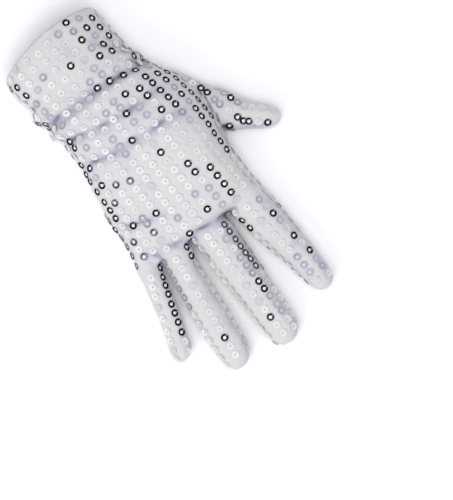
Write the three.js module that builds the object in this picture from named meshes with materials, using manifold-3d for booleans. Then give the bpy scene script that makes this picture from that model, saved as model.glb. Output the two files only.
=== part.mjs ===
// A ladies' stretch-knit dress glove covered in sequins: a right hand, lying palm down and still
// holding the round form that it takes when worn. It is hollow from the cuff's mouth to the tips.
// A back panel and a palm panel, each cut in one from the cuff to the fingertips, meet in a seam at
// the glove's widest outline. The thumb is a tube set into the side of the hand, and a hem is turned
// in at the cuff's mouth. The sequins are too many and too small to be solids.
//
// Millimetres. +Y runs from the cuff to the fingertips, +X from the thumb to the little finger and
// +Z up from the table to the back of the hand.
import * as THREE from "three";
import Module from "manifold-3d";
import { mergeVertices } from "three/addons/utils/BufferGeometryUtils.js";

const wasm = await Module();
wasm.setup();

// Driving dimensions
const WALL = 1.2; // knit backing
const GAP = 0.3; // between two sewn pieces
const SEAM_HEIGHT = 9; // the side seam, above the table
const HEM_WALL = 1;
const HEM_DEPTH = 11;
const TOE = 9; // how far the rounded underside reaches in from the outline before it lies flat
const CROWN = 2; // how much the back of the hand bulges between its two rounded sides

// The patterns are drawn about the middle of the wrist. The part's origin is on the table, under
// the middle of the whole glove, at this point of the pattern.
const ORIGIN = { x: -15.25, y: 63.35 };

// How many points round a section: a rounded top side, the crown between, a rounded underside, the flat
const HAND_ROUND = { side: 6, crown: 7, under: 3, flat: 3 };
const FINGER_ROUND = { side: 4, crown: 1, under: 2, flat: 1 };

// The sleeve and the hand, as sections across it. left and right are the outline, top is the height
// of the back over the table, fall is how much lower it is on the little finger's side, roundLeft
// and roundRight are how far in the sides curve, and skew and bow slant and curve the section.
const HAND = [
  { y: -58, left: -29.6, right: 39.6, top: 31, fall: 1.5, roundLeft: 25, roundRight: 26, skew: 3, bow: 5.5 },
  { y: -53, left: -31, right: 40.8, top: 32.5, fall: 1.5, roundLeft: 26, roundRight: 26, skew: 2.8, bow: 5.2 },
  { y: -48, left: -31.3, right: 41.2, top: 33, fall: 1.5, roundLeft: 27, roundRight: 26, skew: 2.3, bow: 4.2 },
  { y: -40, left: -31.8, right: 41, top: 33.5, fall: 2, roundLeft: 27, roundRight: 26, skew: 1.2, bow: 2.2 },
  { y: -34, left: -31.7, right: 40.4, top: 33.5, fall: 2.5, roundLeft: 27, roundRight: 26, skew: 0.5, bow: 0.9 },
  { y: -29, left: -33.2, right: 39, top: 33.2, fall: 2.5, roundLeft: 26, roundRight: 26, skew: 0, bow: 0 },
  { y: -25, left: -32.9, right: 38.6, top: 33.2, fall: 2.5, roundLeft: 26, roundRight: 26, skew: 0, bow: 0 },
  { y: -17, left: -36.4, right: 40.6, top: 33, fall: 2.5, roundLeft: 26, roundRight: 26, skew: 0, bow: 0 },
  { y: -10, left: -37.6, right: 36.8, top: 31.5, fall: 2.5, roundLeft: 24, roundRight: 26, skew: 0, bow: 0 },
  { y: -4, left: -40.8, right: 37.6, top: 32.5, fall: 3, roundLeft: 24, roundRight: 26, skew: 0, bow: 0 },
  { y: 2, left: -44.6, right: 34.2, top: 33.5, fall: 3.5, roundLeft: 26, roundRight: 26, skew: 0, bow: 0 },
  { y: 10, left: -48.6, right: 33.6, top: 34, fall: 4, roundLeft: 27, roundRight: 27, skew: 0, bow: 0 },
  { y: 26, left: -51.4, right: 34.6, top: 34, fall: 4.5, roundLeft: 26, roundRight: 30, skew: 0, bow: 0 },
  { y: 42, left: -52, right: 37.4, top: 33.5, fall: 5.5, roundLeft: 23, roundRight: 33, skew: 0, bow: 0 },
  { y: 58, left: -50, right: 38.7, top: 32, fall: 5.5, roundLeft: 21, roundRight: 34, skew: 0, bow: 0 },
  { y: 70, left: -49.1, right: 39.2, top: 30, fall: 5, roundLeft: 20, roundRight: 32, skew: 0, bow: 0 },
  { y: 82, left: -49.2, right: 40.6, top: 27, fall: 4, roundLeft: 18, roundRight: 28, skew: -1, bow: 0 },
  { y: 90, left: -49, right: 41.5, top: 24, fall: 3, roundLeft: 16, roundRight: 25, skew: -2, bow: 0 },
  { y: 95, left: -47, right: 40, top: 20, fall: 2, roundLeft: 16, roundRight: 22, skew: -3, bow: 0 },
  { y: 98, left: -40, right: 34, top: 14, fall: 0, roundLeft: 16, roundRight: 20, skew: -3, bow: 0 },
];
const HAND_STATIONS = [
  -58, -56, -53, -49, -44, -38, -34, -31, -28, -25, -21, -17, -14, -12, -10, -8, -6, -1, 3, 6, 8.5, 11, 14,
  18, 22, 25, 28, 32, 38, 46, 54, 62, 70, 77, 84, 89, 93, 96, 98,
];

// Each finger, from inside the palm to where its rounded tip begins; tip is the end of the finger
const FINGERS = {
  index: {
    rows: [
      { y: 78, left: -47.6, right: -20, top: 22.5 },
      { y: 90, left: -49.4, right: -22.4, top: 22.6 },
      { y: 97, left: -50.2, right: -24, top: 21.4 },
      { y: 103, left: -50.8, right: -25.2, top: 20 },
      { y: 109, left: -51.4, right: -26.4, top: 19.2 },
      { y: 118, left: -52.4, right: -28, top: 18.4 },
      { y: 135, left: -53.8, right: -32.6, top: 17.8 },
      { y: 150, left: -54.5, right: -36, top: 17.2 },
      { y: 160, left: -54.5, right: -38, top: 16.4 },
    ],
    tip: { x: -46.4, y: 171.3 },
  },
  middle: {
    rows: [
      { y: 78, left: -23, right: 6, top: 23.4 },
      { y: 90, left: -22.2, right: 4.8, top: 22.8 },
      { y: 98, left: -21.8, right: 4, top: 21.2 },
      { y: 108, left: -21.6, right: 3.7, top: 19.6 },
      { y: 120, left: -21, right: 3.8, top: 18.6 },
      { y: 137, left: -20.7, right: 3.1, top: 18 },
      { y: 155, left: -20.6, right: 2.3, top: 17.4 },
      { y: 169, left: -20, right: 1.7, top: 16.8 },
    ],
    tip: { x: -8, y: 185 },
  },
  ring: {
    rows: [
      { y: 76, left: 2, right: 31, top: 22.4 },
      { y: 88, left: 4.6, right: 28.6, top: 21.6 },
      { y: 96, left: 6.2, right: 27.7, top: 20.6 },
      { y: 103, left: 7.6, right: 27.7, top: 19.4 },
      { y: 110, left: 9.2, right: 28.5, top: 18.6 },
      { y: 124, left: 10.6, right: 30.8, top: 17.8 },
      { y: 142, left: 11.2, right: 32.8, top: 17.2 },
      { y: 162, left: 13, right: 34.2, top: 16.4 },
    ],
    tip: { x: 25.6, y: 180 },
  },
  little: {
    rows: [
      { y: 76, left: 24.5, right: 38.6, top: 18 },
      { y: 85, left: 27, right: 40.6, top: 18.4 },
      { y: 95, left: 29.2, right: 43.6, top: 18.2 },
      { y: 104, left: 30.6, right: 45.4, top: 17 },
      { y: 114, left: 32.6, right: 47.4, top: 16 },
      { y: 126, left: 35.6, right: 50.2, top: 15.4 },
      { y: 136, left: 38.7, right: 53.2, top: 15 },
      { y: 145, left: 41.8, right: 56.2, top: 14.6 },
    ],
    tip: { x: 52, y: 156 },
  },
};
const FINGER_STEP = 9;
const TIP_BLUNTNESS = 2.3; // 2 is an elliptical tip, more is squarer
const TIP_STEPS = [0.35, 0.62, 0.82, 0.94];

// The thumb, along its own axis: y is the distance from its root, and the root's place and turn
const THUMB_ROOT = { x: -34.8, y: 21.3, turn: 45.6 };
const THUMB = {
  rows: [
    { y: -9, left: -21, right: 21, top: 14 },
    { y: 3, left: -20, right: 19.5, top: 14 },
    { y: 15, left: -16.6, right: 17, top: 14.6 },
    { y: 24, left: -14, right: 15.2, top: 15.4 },
    { y: 34, left: -12.6, right: 13, top: 16.2 },
    { y: 45, left: -9.8, right: 9.8, top: 16.2 },
    { y: 55, left: -8.3, right: 7.9, top: 15.8 },
  ],
  tip: { x: -1.4, y: 69 },
};

// Valleys pressed into the cloth. Each runs over three points from the thumb's side to the other.
const FOLDS = [
  { name: "wrist crease", x: [-40, -2, 38], y: [-8.5, -11.5, -7.5], depth: 2.6, width: 3.2 },
  { name: "lower wrist fold", x: [-36, -4, 32], y: [9.5, 8.5, 2.5], depth: 2, width: 3.6 },
  { name: "upper wrist fold", x: [-42, -4, 33], y: [29, 26.5, 20.5], depth: 1.8, width: 4.2 },
  { name: "cuff pleat", x: [-37, -27, -14], y: [-19, -28, -40], depth: 1.5, width: 3.6 },
  { name: "knuckle line", x: [-30, 0, 34], y: [98, 96.5, 89], depth: 1.2, width: 3.5 },
];

// A smooth curve through the rows of a table, for each column, at the height y.
function rowAt(rows, y) {
  const last = rows.length - 1;
  let i = 0;
  while (i < last - 1 && y > rows[i + 1].y) i += 1;
  const slope = (key, k) => {
    const a = rows[Math.max(k - 1, 0)];
    const b = rows[Math.min(k + 1, last)];
    return (b[key] - a[key]) / (b.y - a.y);
  };
  const span = rows[i + 1].y - rows[i].y;
  const t = THREE.MathUtils.clamp((y - rows[i].y) / span, 0, 1);
  const made = { y };
  for (const key of Object.keys(rows[i])) {
    if (key === "y") continue;
    made[key] =
      rows[i][key] * (2 * t ** 3 - 3 * t ** 2 + 1) +
      rows[i + 1][key] * (3 * t ** 2 - 2 * t ** 3) +
      slope(key, i) * span * (t ** 3 - 2 * t ** 2 + t) +
      slope(key, i + 1) * span * (t ** 3 - t ** 2);
  }
  return made;
}

// How deep the folds press in at a point of the pattern.
function foldDepth(x, y) {
  let depth = 0;
  for (const fold of FOLDS) {
    const [x0, x1, x2] = fold.x;
    const [y0, y1, y2] = fold.y;
    const l0 = ((x - x1) * (x - x2)) / ((x0 - x1) * (x0 - x2));
    const l1 = ((x - x0) * (x - x2)) / ((x1 - x0) * (x1 - x2));
    const l2 = ((x - x0) * (x - x1)) / ((x2 - x0) * (x2 - x1));
    const off = y - (l0 * y0 + l1 * y1 + l2 * y2);
    const begun = THREE.MathUtils.smoothstep(x, x0 - 4, x0 + 4);
    const ended = THREE.MathUtils.smoothstep(x, x2 - 4, x2 + 4);
    depth += fold.depth * begun * (1 - ended) * Math.exp(-((off / fold.width) ** 2));
  }
  return depth;
}

// One closed ring of points round a section: flat on the table, rounded up to the seam at its widest
// and rounded over the top. inset moves it inwards, and swell is the share left near a closed tip.
function sectionRing(row, round, inset, swell = 1, folded = true) {
  const { left, right, top, fall = 0, skew = 0, bow = 0 } = row;
  const width = right - left;
  const roundLeft = Math.min(row.roundLeft ?? width / 2, width / 2);
  const roundRight = Math.min(row.roundRight ?? width / 2, width - roundLeft);
  const toe = Math.min(TOE, width * 0.36);
  const ring = [];
  const rise = (top - SEAM_HEIGHT) * swell - inset;
  const drop = SEAM_HEIGHT * swell - inset;
  const put = (x, z, nx, nz) => ring.push({ x, z, nx, nz });
  const corner = (centre, reach, height, from, to, steps) => {
    for (let i = 0; i < steps; i += 1) {
      const angle = THREE.MathUtils.degToRad(from + ((to - from) * i) / steps);
      const nx = Math.cos(angle);
      const nz = Math.sin(angle);
      put(centre + reach * nx, SEAM_HEIGHT + height * nz, nx, nz);
    }
  };
  corner(left + roundLeft, roundLeft - inset, rise, 180, 90, round.side);
  const crownLeft = left + roundLeft;
  const crownRight = right - roundRight;
  const bulge = width > 60 ? CROWN : 0;
  for (let i = 0; i < round.crown; i += 1) {
    const t = i / round.crown;
    const height = rise - fall * swell * t + bulge * 4 * t * (1 - t);
    put(crownLeft + (crownRight - crownLeft) * t, SEAM_HEIGHT + height, 0, 1);
  }
  corner(crownRight, roundRight - inset, rise - fall * swell, 90, 0, round.side);
  corner(right - toe, toe - inset, drop, 0, -90, round.under);
  for (let i = 0; i < round.flat; i += 1) {
    const t = i / round.flat;
    put(right - toe + (left + 2 * toe - right) * t, SEAM_HEIGHT - drop, 0, -1);
  }
  corner(left + toe, toe - inset, drop, 270, 180, round.under);
  const middle = (left + right) / 2;
  return ring.map(({ x, z, nx, nz }) => {
    const across = (x - middle) / (width / 2);
    const y = row.y + skew * across + bow * across ** 2;
    const lifted = THREE.MathUtils.smoothstep(z, 1, SEAM_HEIGHT);
    const press = folded ? foldDepth(x, y) * lifted * swell : 0;
    return new THREE.Vector3(x - nx * press, y, z - nz * press);
  });
}

// A closed solid through rings that all have the same number of points.
function loft(rings) {
  const count = rings[0].length;
  const positions = rings.flat();
  const index = [];
  const cap = (ring, offset, first) => {
    const centre = ring.reduce((sum, p) => sum.add(p), new THREE.Vector3()).divideScalar(count);
    const hub = positions.push(centre) - 1;
    for (let j = 0; j < count; j += 1) {
      const a = offset + j;
      const b = offset + ((j + 1) % count);
      index.push(...(first ? [hub, b, a] : [hub, a, b]));
    }
  };
  for (let i = 0; i + 1 < rings.length; i += 1) {
    for (let j = 0; j < count; j += 1) {
      const a = i * count + j;
      const b = i * count + ((j + 1) % count);
      index.push(a, b, a + count, b, b + count, a + count);
    }
  }
  cap(rings[0], 0, true);
  cap(rings.at(-1), (rings.length - 1) * count, false);
  return new THREE.BufferGeometry().setFromPoints(positions).setIndex(index);
}

function solidOf(geometry) {
  const bare = geometry.index ? geometry.toNonIndexed() : geometry.clone();
  bare.deleteAttribute("normal");
  bare.deleteAttribute("uv");
  const merged = mergeVertices(bare, 1e-4);
  return new wasm.Manifold(
    new wasm.Mesh({
      numProp: 3,
      vertProperties: merged.attributes.position.array,
      triVerts: new Uint32Array(merged.index.array),
    }),
  );
}

function box(low, high) {
  const size = new THREE.Vector3().subVectors(high, low);
  const made = new THREE.BoxGeometry(size.x, size.y, size.z);
  const middle = new THREE.Vector3().addVectors(low, high).divideScalar(2);
  return solidOf(made.translate(middle.x, middle.y, middle.z));
}

// The sleeve and the hand as one solid, without fingers. An inner one runs out past the mouth.
function handSolid(inset) {
  const rings = HAND_STATIONS.map((y) => sectionRing(rowAt(HAND, y), HAND_ROUND, inset));
  if (inset > 0) rings.unshift(rings[0].map((p) => p.clone().setY(p.y - 10)));
  if (inset > 0) rings.at(-1).forEach((p) => p.setY(p.y - inset));
  return solidOf(loft(rings));
}

// A finger from its first row to its rounded tip.
function fingerSolid({ rows, tip }, inset, step = FINGER_STEP, folded = true) {
  const first = rows[0].y;
  const last = rows.at(-1);
  const steps = Math.round((last.y - first) / step);
  const rings = [];
  for (let i = 0; i <= steps; i += 1) {
    const row = rowAt(rows, first + ((last.y - first) * i) / steps);
    rings.push(sectionRing(row, FINGER_ROUND, inset, 1, folded));
  }
  const reach = tip.y - last.y;
  const middle = (last.left + last.right) / 2;
  const half = (last.right - last.left) / 2;
  for (const share of TIP_STEPS) {
    const swell = (1 - share ** TIP_BLUNTNESS) ** (1 / TIP_BLUNTNESS);
    const centre = THREE.MathUtils.lerp(middle, tip.x, share ** 2);
    const y = last.y + (reach - inset) * share;
    const row = { y, left: centre - half * swell, right: centre + half * swell, top: last.top };
    rings.push(sectionRing(row, FINGER_ROUND, inset, swell, false));
  }
  const end = new THREE.Vector3(tip.x, tip.y - inset, SEAM_HEIGHT * 0.9);
  rings.push(rings.at(-1).map((p) => new THREE.Vector3().lerpVectors(end, p, 0.12).setY(end.y)));
  return solidOf(loft(rings));
}

function thumbSolid(inset) {
  return fingerSolid(THUMB, inset, 10, false)
    .rotate([0, 0, THUMB_ROOT.turn])
    .translate([THUMB_ROOT.x, THUMB_ROOT.y, 0]);
}

function gloveSolid(inset) {
  return Object.values(FINGERS).reduce((sum, f) => sum.add(fingerSolid(f, inset)), handSolid(inset));
}

// The largest body, without the crumbs that a cut can leave.
function largest(solid) {
  return solid.decompose().sort((a, b) => b.volume() - a.volume())[0];
}

const FAR = 300;
const between = (low, high) => box(new THREE.Vector3(...low), new THREE.Vector3(...high));
const above = (z) => between([-FAR, -FAR, z], [FAR, FAR, FAR]);
const below = (z) => between([-FAR, -FAR, -FAR], [FAR, FAR, z]);

// The hem: the cuff's own cloth turned in at the mouth, as a second layer inside the first.
function hemSolid() {
  const rows = [HAND[0].y, HAND[0].y + HEM_DEPTH / 2, HAND[0].y + HEM_DEPTH];
  const sleeve = (inset, reach) => {
    const rings = rows.map((y) => sectionRing(rowAt(HAND, y), HAND_ROUND, inset));
    rings[0].forEach((p) => p.setY(p.y - reach));
    rings.at(-1).forEach((p) => p.setY(p.y + reach));
    return solidOf(loft(rings));
  };
  const face = WALL + GAP;
  return sleeve(face, 0).subtract(sleeve(face + HEM_WALL, 2));
}

const thumbHollow = thumbSolid(WALL);
const shell = gloveSolid(0).subtract(gloveSolid(WALL)).subtract(thumbHollow);

const pieces = {
  back_panel: largest(shell.intersect(above(SEAM_HEIGHT + GAP / 2))),
  palm_panel: largest(shell.intersect(below(SEAM_HEIGHT - GAP / 2))),
  thumb: largest(thumbSolid(0).subtract(thumbHollow).subtract(gloveSolid(-GAP))),
  cuff_hem: hemSolid(),
};

const knit = new THREE.MeshStandardMaterial({ color: 0xe6e6ee, roughness: 0.75, metalness: 0 });
const glove = new THREE.Group();
for (const [name, solid] of Object.entries(pieces)) {
  const made = solid.translate([-ORIGIN.x, -ORIGIN.y, 0]).getMesh();
  const geometry = new THREE.BufferGeometry()
    .setAttribute("position", new THREE.BufferAttribute(made.vertProperties, 3))
    .setIndex(new THREE.BufferAttribute(made.triVerts, 1));
  geometry.computeVertexNormals();
  const mesh = new THREE.Mesh(geometry, knit.clone());
  mesh.name = name;
  glove.add(mesh);
}

export default glove;
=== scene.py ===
import math
from collections import namedtuple

import bmesh
import bpy
import numpy as np
from mathutils import Matrix, Vector, noise
from mathutils.bvhtree import BVHTree


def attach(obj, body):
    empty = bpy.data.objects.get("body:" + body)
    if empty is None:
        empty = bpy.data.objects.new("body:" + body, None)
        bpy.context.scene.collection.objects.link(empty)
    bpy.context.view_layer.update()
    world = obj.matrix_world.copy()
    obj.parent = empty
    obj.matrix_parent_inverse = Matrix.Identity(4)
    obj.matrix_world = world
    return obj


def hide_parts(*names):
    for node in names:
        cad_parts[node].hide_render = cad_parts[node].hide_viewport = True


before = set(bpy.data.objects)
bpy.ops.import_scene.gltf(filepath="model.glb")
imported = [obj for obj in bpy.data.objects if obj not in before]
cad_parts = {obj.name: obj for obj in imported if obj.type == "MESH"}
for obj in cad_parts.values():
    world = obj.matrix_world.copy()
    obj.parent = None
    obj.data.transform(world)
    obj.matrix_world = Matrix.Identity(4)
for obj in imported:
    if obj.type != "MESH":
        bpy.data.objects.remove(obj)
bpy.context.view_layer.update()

bl_info = {
    "name": "Sequin glove",
    "version": (1, 0, 0),
    "blender": (4, 5, 0),
    "location": "3D View > Sidebar > Glove",
    "description": "Makes a stretch-knit dress glove covered in rows of cup sequins",
    "category": "Object",
}

# Lengths in the tables below are millimetres, in the glove's pattern: y runs from the wrist to the
# fingertips, x from the thumb's side to the little finger's and z up from the table.
MM = 0.001

# The part's own origin is at this point of the pattern, on the table.
ORIGIN = Vector((-15.25, 63.35, 0.0))

TOE = 9.0  # how far the rounded underside reaches in from the outline before it lies flat
CROWN = 2.0  # how much the back of the hand bulges between its two rounded sides
CROWN_WIDTH = 60.0  # a tube wider than this has that bulge
TIP_BLUNTNESS = 2.3  # 2 is an elliptical fingertip, more is squarer
MOUTH_Y = -58.0
MOUTH_BOW = 5.5  # how far the mouth's two sides curve back
MOUTH_SKEW = 3.0
MOUTH_REACH = 32.0  # how far from the mouth that curve can still be felt
THUMB_SEAM_X = -52.2
THUMB_SIDE_Y = 80.0  # the thumb is all below this, the fingers all above it
UNDER = 1.0  # the underside's height over the table, which the sequins under it take up
TABLE_GAP = 0.05  # below this height nothing of the glove reaches
PART_GAP = 0.12  # half of the hairline between two sewn pieces
ON_PLANE = 0.01  # a point nearer to a cutting plane than this lies on it
THUMB_SHADE = 0.02  # the thumb lies lower and in the hand's shade

# The camera looks straight down at this point. It is also what the photo's places are read against.
AIM = Vector((-9.2, 115.5, 12.0))
CAMERA_RISE = 2153.0  # the camera's height over that point

Section = namedtuple("Section", "y left right top fall round_left round_right")

# The sleeve and the hand, as sections across them: the outline, the height of the back over the
# table, how much lower it is on the little finger's side, and how far in the two sides curve.
HAND = [
    Section(-70, -28.2, 38.2, 31.0, 1.5, 25, 26),
    Section(-58, -29.6, 39.6, 31.0, 1.5, 25, 26),
    Section(-53, -31.0, 40.8, 32.5, 1.5, 26, 26),
    Section(-48, -31.3, 41.2, 33.0, 1.5, 27, 26),
    Section(-40, -31.8, 41.0, 33.5, 2.0, 27, 26),
    Section(-34, -31.7, 40.4, 33.5, 2.5, 27, 26),
    Section(-29, -33.2, 39.0, 33.2, 2.5, 26, 26),
    Section(-25, -32.9, 38.6, 33.2, 2.5, 26, 26),
    Section(-17, -36.4, 40.6, 33.0, 2.5, 26, 26),
    Section(-10, -37.6, 36.8, 31.5, 2.5, 24, 26),
    Section(-4, -40.8, 37.6, 32.5, 3.0, 24, 26),
    Section(2, -44.6, 34.2, 33.5, 3.5, 26, 26),
    Section(10, -48.6, 33.6, 34.0, 4.0, 27, 27),
    Section(26, -51.4, 34.6, 34.0, 4.5, 26, 30),
    Section(42, -52.0, 37.4, 33.5, 5.5, 23, 33),
    Section(58, -50.0, 38.7, 32.0, 5.5, 21, 34),
    Section(70, -49.1, 39.2, 30.0, 5.0, 20, 32),
    Section(82, -49.2, 40.6, 27.0, 4.0, 18, 28),
    Section(91, -49.0, 41.5, 23.8, 3.0, 16, 25),
    Section(97, -46.5, 39.5, 20.0, 2.0, 16, 22),
]


def finger_row(y, left, right, top):
    """A section of a finger, rounded all the way over."""
    half = (right - left) / 2
    return Section(y, left, right, top, 0.0, half, half)


Finger = namedtuple("Finger", "name rows tip_x tip_y")

INDEX = Finger("index", [
    finger_row(78, -47.6, -20, 22.5),
    finger_row(90, -49.4, -22.4, 22.6),
    finger_row(97, -50.2, -24.0, 21.4),
    finger_row(103, -50.8, -25.2, 20.0),
    finger_row(109, -51.4, -26.4, 19.2),
    finger_row(118, -52.4, -28, 18.4),
    finger_row(135, -53.8, -32.6, 17.8),
    finger_row(150, -54.5, -36, 17.2),
    finger_row(160, -54.5, -38, 16.4),
], -46.4, 171.3)
MIDDLE = Finger("middle", [
    finger_row(78, -23, 6, 23.4),
    finger_row(90, -22.2, 4.8, 22.8),
    finger_row(98, -21.8, 4.0, 21.2),
    finger_row(108, -21.6, 3.7, 19.6),
    finger_row(120, -21, 3.8, 18.6),
    finger_row(137, -20.7, 3.1, 18.0),
    finger_row(155, -20.6, 2.3, 17.4),
    finger_row(169, -20, 1.7, 16.8),
], -8.0, 185.0)
RING = Finger("ring", [
    finger_row(76, 2, 31, 22.4),
    finger_row(88, 4.6, 28.6, 21.6),
    finger_row(96, 6.2, 27.7, 20.6),
    finger_row(103, 7.6, 27.7, 19.4),
    finger_row(110, 9.2, 28.5, 18.6),
    finger_row(124, 10.6, 30.8, 17.8),
    finger_row(142, 11.2, 32.8, 17.2),
    finger_row(162, 13, 34.2, 16.4),
], 25.6, 180.0)
LITTLE = Finger("little", [
    finger_row(76, 24.5, 38.6, 18.0),
    finger_row(85, 27, 40.6, 18.4),
    finger_row(95, 29.2, 43.6, 18.2),
    finger_row(104, 30.6, 45.4, 17.0),
    finger_row(114, 32.6, 47.4, 16.0),
    finger_row(126, 35.6, 50.2, 15.4),
    finger_row(136, 38.7, 53.2, 15.0),
    finger_row(145, 41.8, 56.2, 14.6),
], 52.0, 156.0)

# The thumb is drawn along its own axis, then turned and moved to its root.
THUMB = Finger("thumb", [
    finger_row(-9, -21, 21, 14.0),
    finger_row(3, -20, 19.5, 14.0),
    finger_row(15, -16.6, 17, 14.6),
    finger_row(24, -14, 15.2, 15.4),
    finger_row(34, -12.6, 13, 16.2),
    finger_row(45, -9.8, 9.8, 16.2),
    finger_row(55, -8.3, 7.9, 15.8),
], -1.4, 69.0)
THUMB_ROOT = Vector((-34.8, 21.3, 0.0))
THUMB_TURN = math.radians(45.6)

# Long valleys that cross the back, with painted shade along each. Each runs over three points from the
# thumb's side to the other.
Fold = namedtuple("Fold", "name x y depth width shade")
FOLDS = [
    Fold("wrist crease", (-40, -2, 38), (-8.5, -10.5, -8.0), 2.1, 2.8, 0.9),
    Fold("lower wrist fold", (-36, -4, 32), (9.7, 10.2, 3.4), 1.7, 2.8, 0.9),
    Fold("upper wrist fold", (-42, -4, 33), (29.8, 28.2, 21.5), 1.4, 3.0, 0.9),
    Fold("cuff pleat", (-37, -27, -14), (-19, -28, -40), 1.2, 2.8, 0.6),
    Fold("knuckle line", (-30, 0, 34), (98, 96.5, 89), 1.0, 2.6, 0.7),
    Fold("outer hand fold", (6, 20, 38), (76, 72, 66), 0.8, 2.4, 0.7),
    Fold("cuff hollow", (-12, 6, 26), (-38, -41, -36), 0.6, 4.5, 0.1),
]
# Short creases, from one point to another, each with painted shade along it.
Crease = namedtuple("Crease", "name start end depth width shade")
CREASES = [
    Crease("wrist crease, deepest", (-34, -9.5), (14, -10.5), 0.4, 1.2, 0.5),
    Crease("lower fold, left", (-30, 10.5), (-8, 10), 0.3, 2.4, 0.4),
    Crease("lower fold, sharp end", (-6, 11.2), (31, 3.2), 0.6, 0.9, 0.4),
    Crease("upper fold, sharp end", (10, 29), (31, 21.5), 0.7, 0.9, 0.9),
    Crease("upper fold, left", (-40, 28.5), (-10, 28), 0.4, 1.6, 0.6),
    Crease("cuff corner, upper", (-40, -6), (-27, -17), 1.1, 1.1, 1.0),
    Crease("cuff corner, middle", (-38, -14), (-26, -24), 0.7, 1.0, 0.9),
    Crease("cuff corner, lower", (-33, -24), (-24, -37), 0.9, 1.1, 0.9),
    Crease("heel, upper", (39, -9), (22, -13), 0.8, 1.2, 0.9),
    Crease("heel, middle", (42, -15), (27, -19), 0.9, 1.3, 0.8),
    Crease("heel, lower", (42, -23), (29, -27), 0.8, 1.2, 0.8),
    Crease("heel, lowest", (41, -31), (31, -34), 0.6, 1.2, 0.6),
    Crease("side of the hand, low", (35, 4), (25, 6), 0.5, 1.0, 0.7),
    # painted shade near black in the thumb's gathers and at its crotch, where it goes under the hand
    Crease("thumb gather, first", (-51.6, 50), (-54.2, 42), 1.0, 0.7, 2.4),
    Crease("thumb gather, second", (-52.6, 44), (-53.4, 34), 0.8, 0.6, 2.4),
    Crease("thumb gather, third", (-53.6, 38), (-54.4, 28), 0.8, 0.6, 2.2),
    Crease("thumb gather, fourth", (-52.8, 30), (-54.0, 23), 0.8, 0.6, 2.2),
    Crease("thumb gather, lower", (-55.6, 29), (-53.0, 12), 0.9, 0.9, 1.5),
    Crease("thumb gather, outer", (-58, 27), (-55, 8), 0.7, 1.0, 1.1),
    Crease("thumb gather, short", (-60.5, 33), (-57, 18), 0.6, 1.0, 0.8),
    Crease("thumb crotch", (-58, 57.5), (-51, 51), 0.9, 1.5, 2.4),
    # painted shade along the thumb's upper edge, which hardly dips in
    Crease("thumb's upper edge", (-80, 69.5), (-58, 58), 0.2, 1.2, 1.3),
    Crease("thumb, along it", (-60, 36), (-74, 51), 0.6, 2.4, 0.3),
    Crease("index root", (-27, 95), (-14, 98), 0.8, 1.2, 0.9),
    Crease("index root, upper", (-30, 99), (-24, 96), 0.6, 1.0, 0.7),
    Crease("middle root", (-14, 97), (2, 95), 0.4, 1.2, 0.7),
    Crease("ring root", (6, 97), (19, 93.5), 0.8, 1.2, 0.9),
    Crease("little finger root", (24, 96), (31, 90), 0.9, 1.3, 1.0),
    Crease("outer hand, sharp end", (16, 73.6), (37, 66), 0.6, 0.9, 1.0),
    Crease("little finger root, upper", (25, 100), (29, 91), 0.6, 1.2, 1.2),
    Crease("index knuckle", (-50, 135), (-40, 138), 0.4, 2.0, 0.4),
    Crease("middle knuckle", (-19, 131), (-8, 134), 0.4, 2.0, 0.4),
    Crease("wrist, left", (-40, 14), (-24, 19), 0.6, 2.0, 0.5),
    Crease("wrist, middle", (-8, 18), (10, 14), 0.4, 2.0, 0.4),
]

# The line that the middle row of sequins follows over each tube: x for each y.
GRAIN = {
    "hand": (
        (-62, -45, -34, -22, -10, 10, 26, 45, 58, 85, 100),
        (14.3, 13.0, 10.5, 8.0, 4.5, 0.0, -1.7, -3.3, -3.6, -5.5, -5.8),
    ),
    "index": (
        (101, 107, 119, 132, 145, 157, 171),
        (-34.9, -35.9, -37.9, -39.3, -42.2, -42.9, -44.0),
    ),
    "middle": ((100, 185), (-4.8, -7.5)),
    "ring": ((100, 180), (19.3, 25.1)),
    "little": ((100, 122, 140, 156), (30.7, 38.0, 43.1, 48.6)),
    "thumb": ((9, 21.5, 30, 46, 61), (-16.0, -9.7, -3.5, 4.6, 3.2)),
}

# Rows that don't keep the fixed distance, as the cloth is stretched less there: how far each lies
# from the middle row, over the cloth.
ROW_OFFSETS = {
    "hand": {1: 8.9, 2: 17.6, 3: 26.2, 4: 34.2, 5: 40.6, 6: 49.0},
    "middle": {-2: -13.1, -1: -7.9, 1: 9.8},
    "ring": {-1: -10.2, 1: 9.6},
}

# The wrist draws the rows together: the share of their distance that is left, for each y. Those on
# the thumb's side lie below the middle row, the others beside it.
GATHERED_BELOW = ((-58, -45, 8, 30), (0.965, 0.955, 0.965, 1.0))
GATHERED_BESIDE = ((-20, 0, 12, 26), (1.0, 0.955, 0.955, 1.0))
NOT_GATHERED = ((0,), (1.0,))

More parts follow.
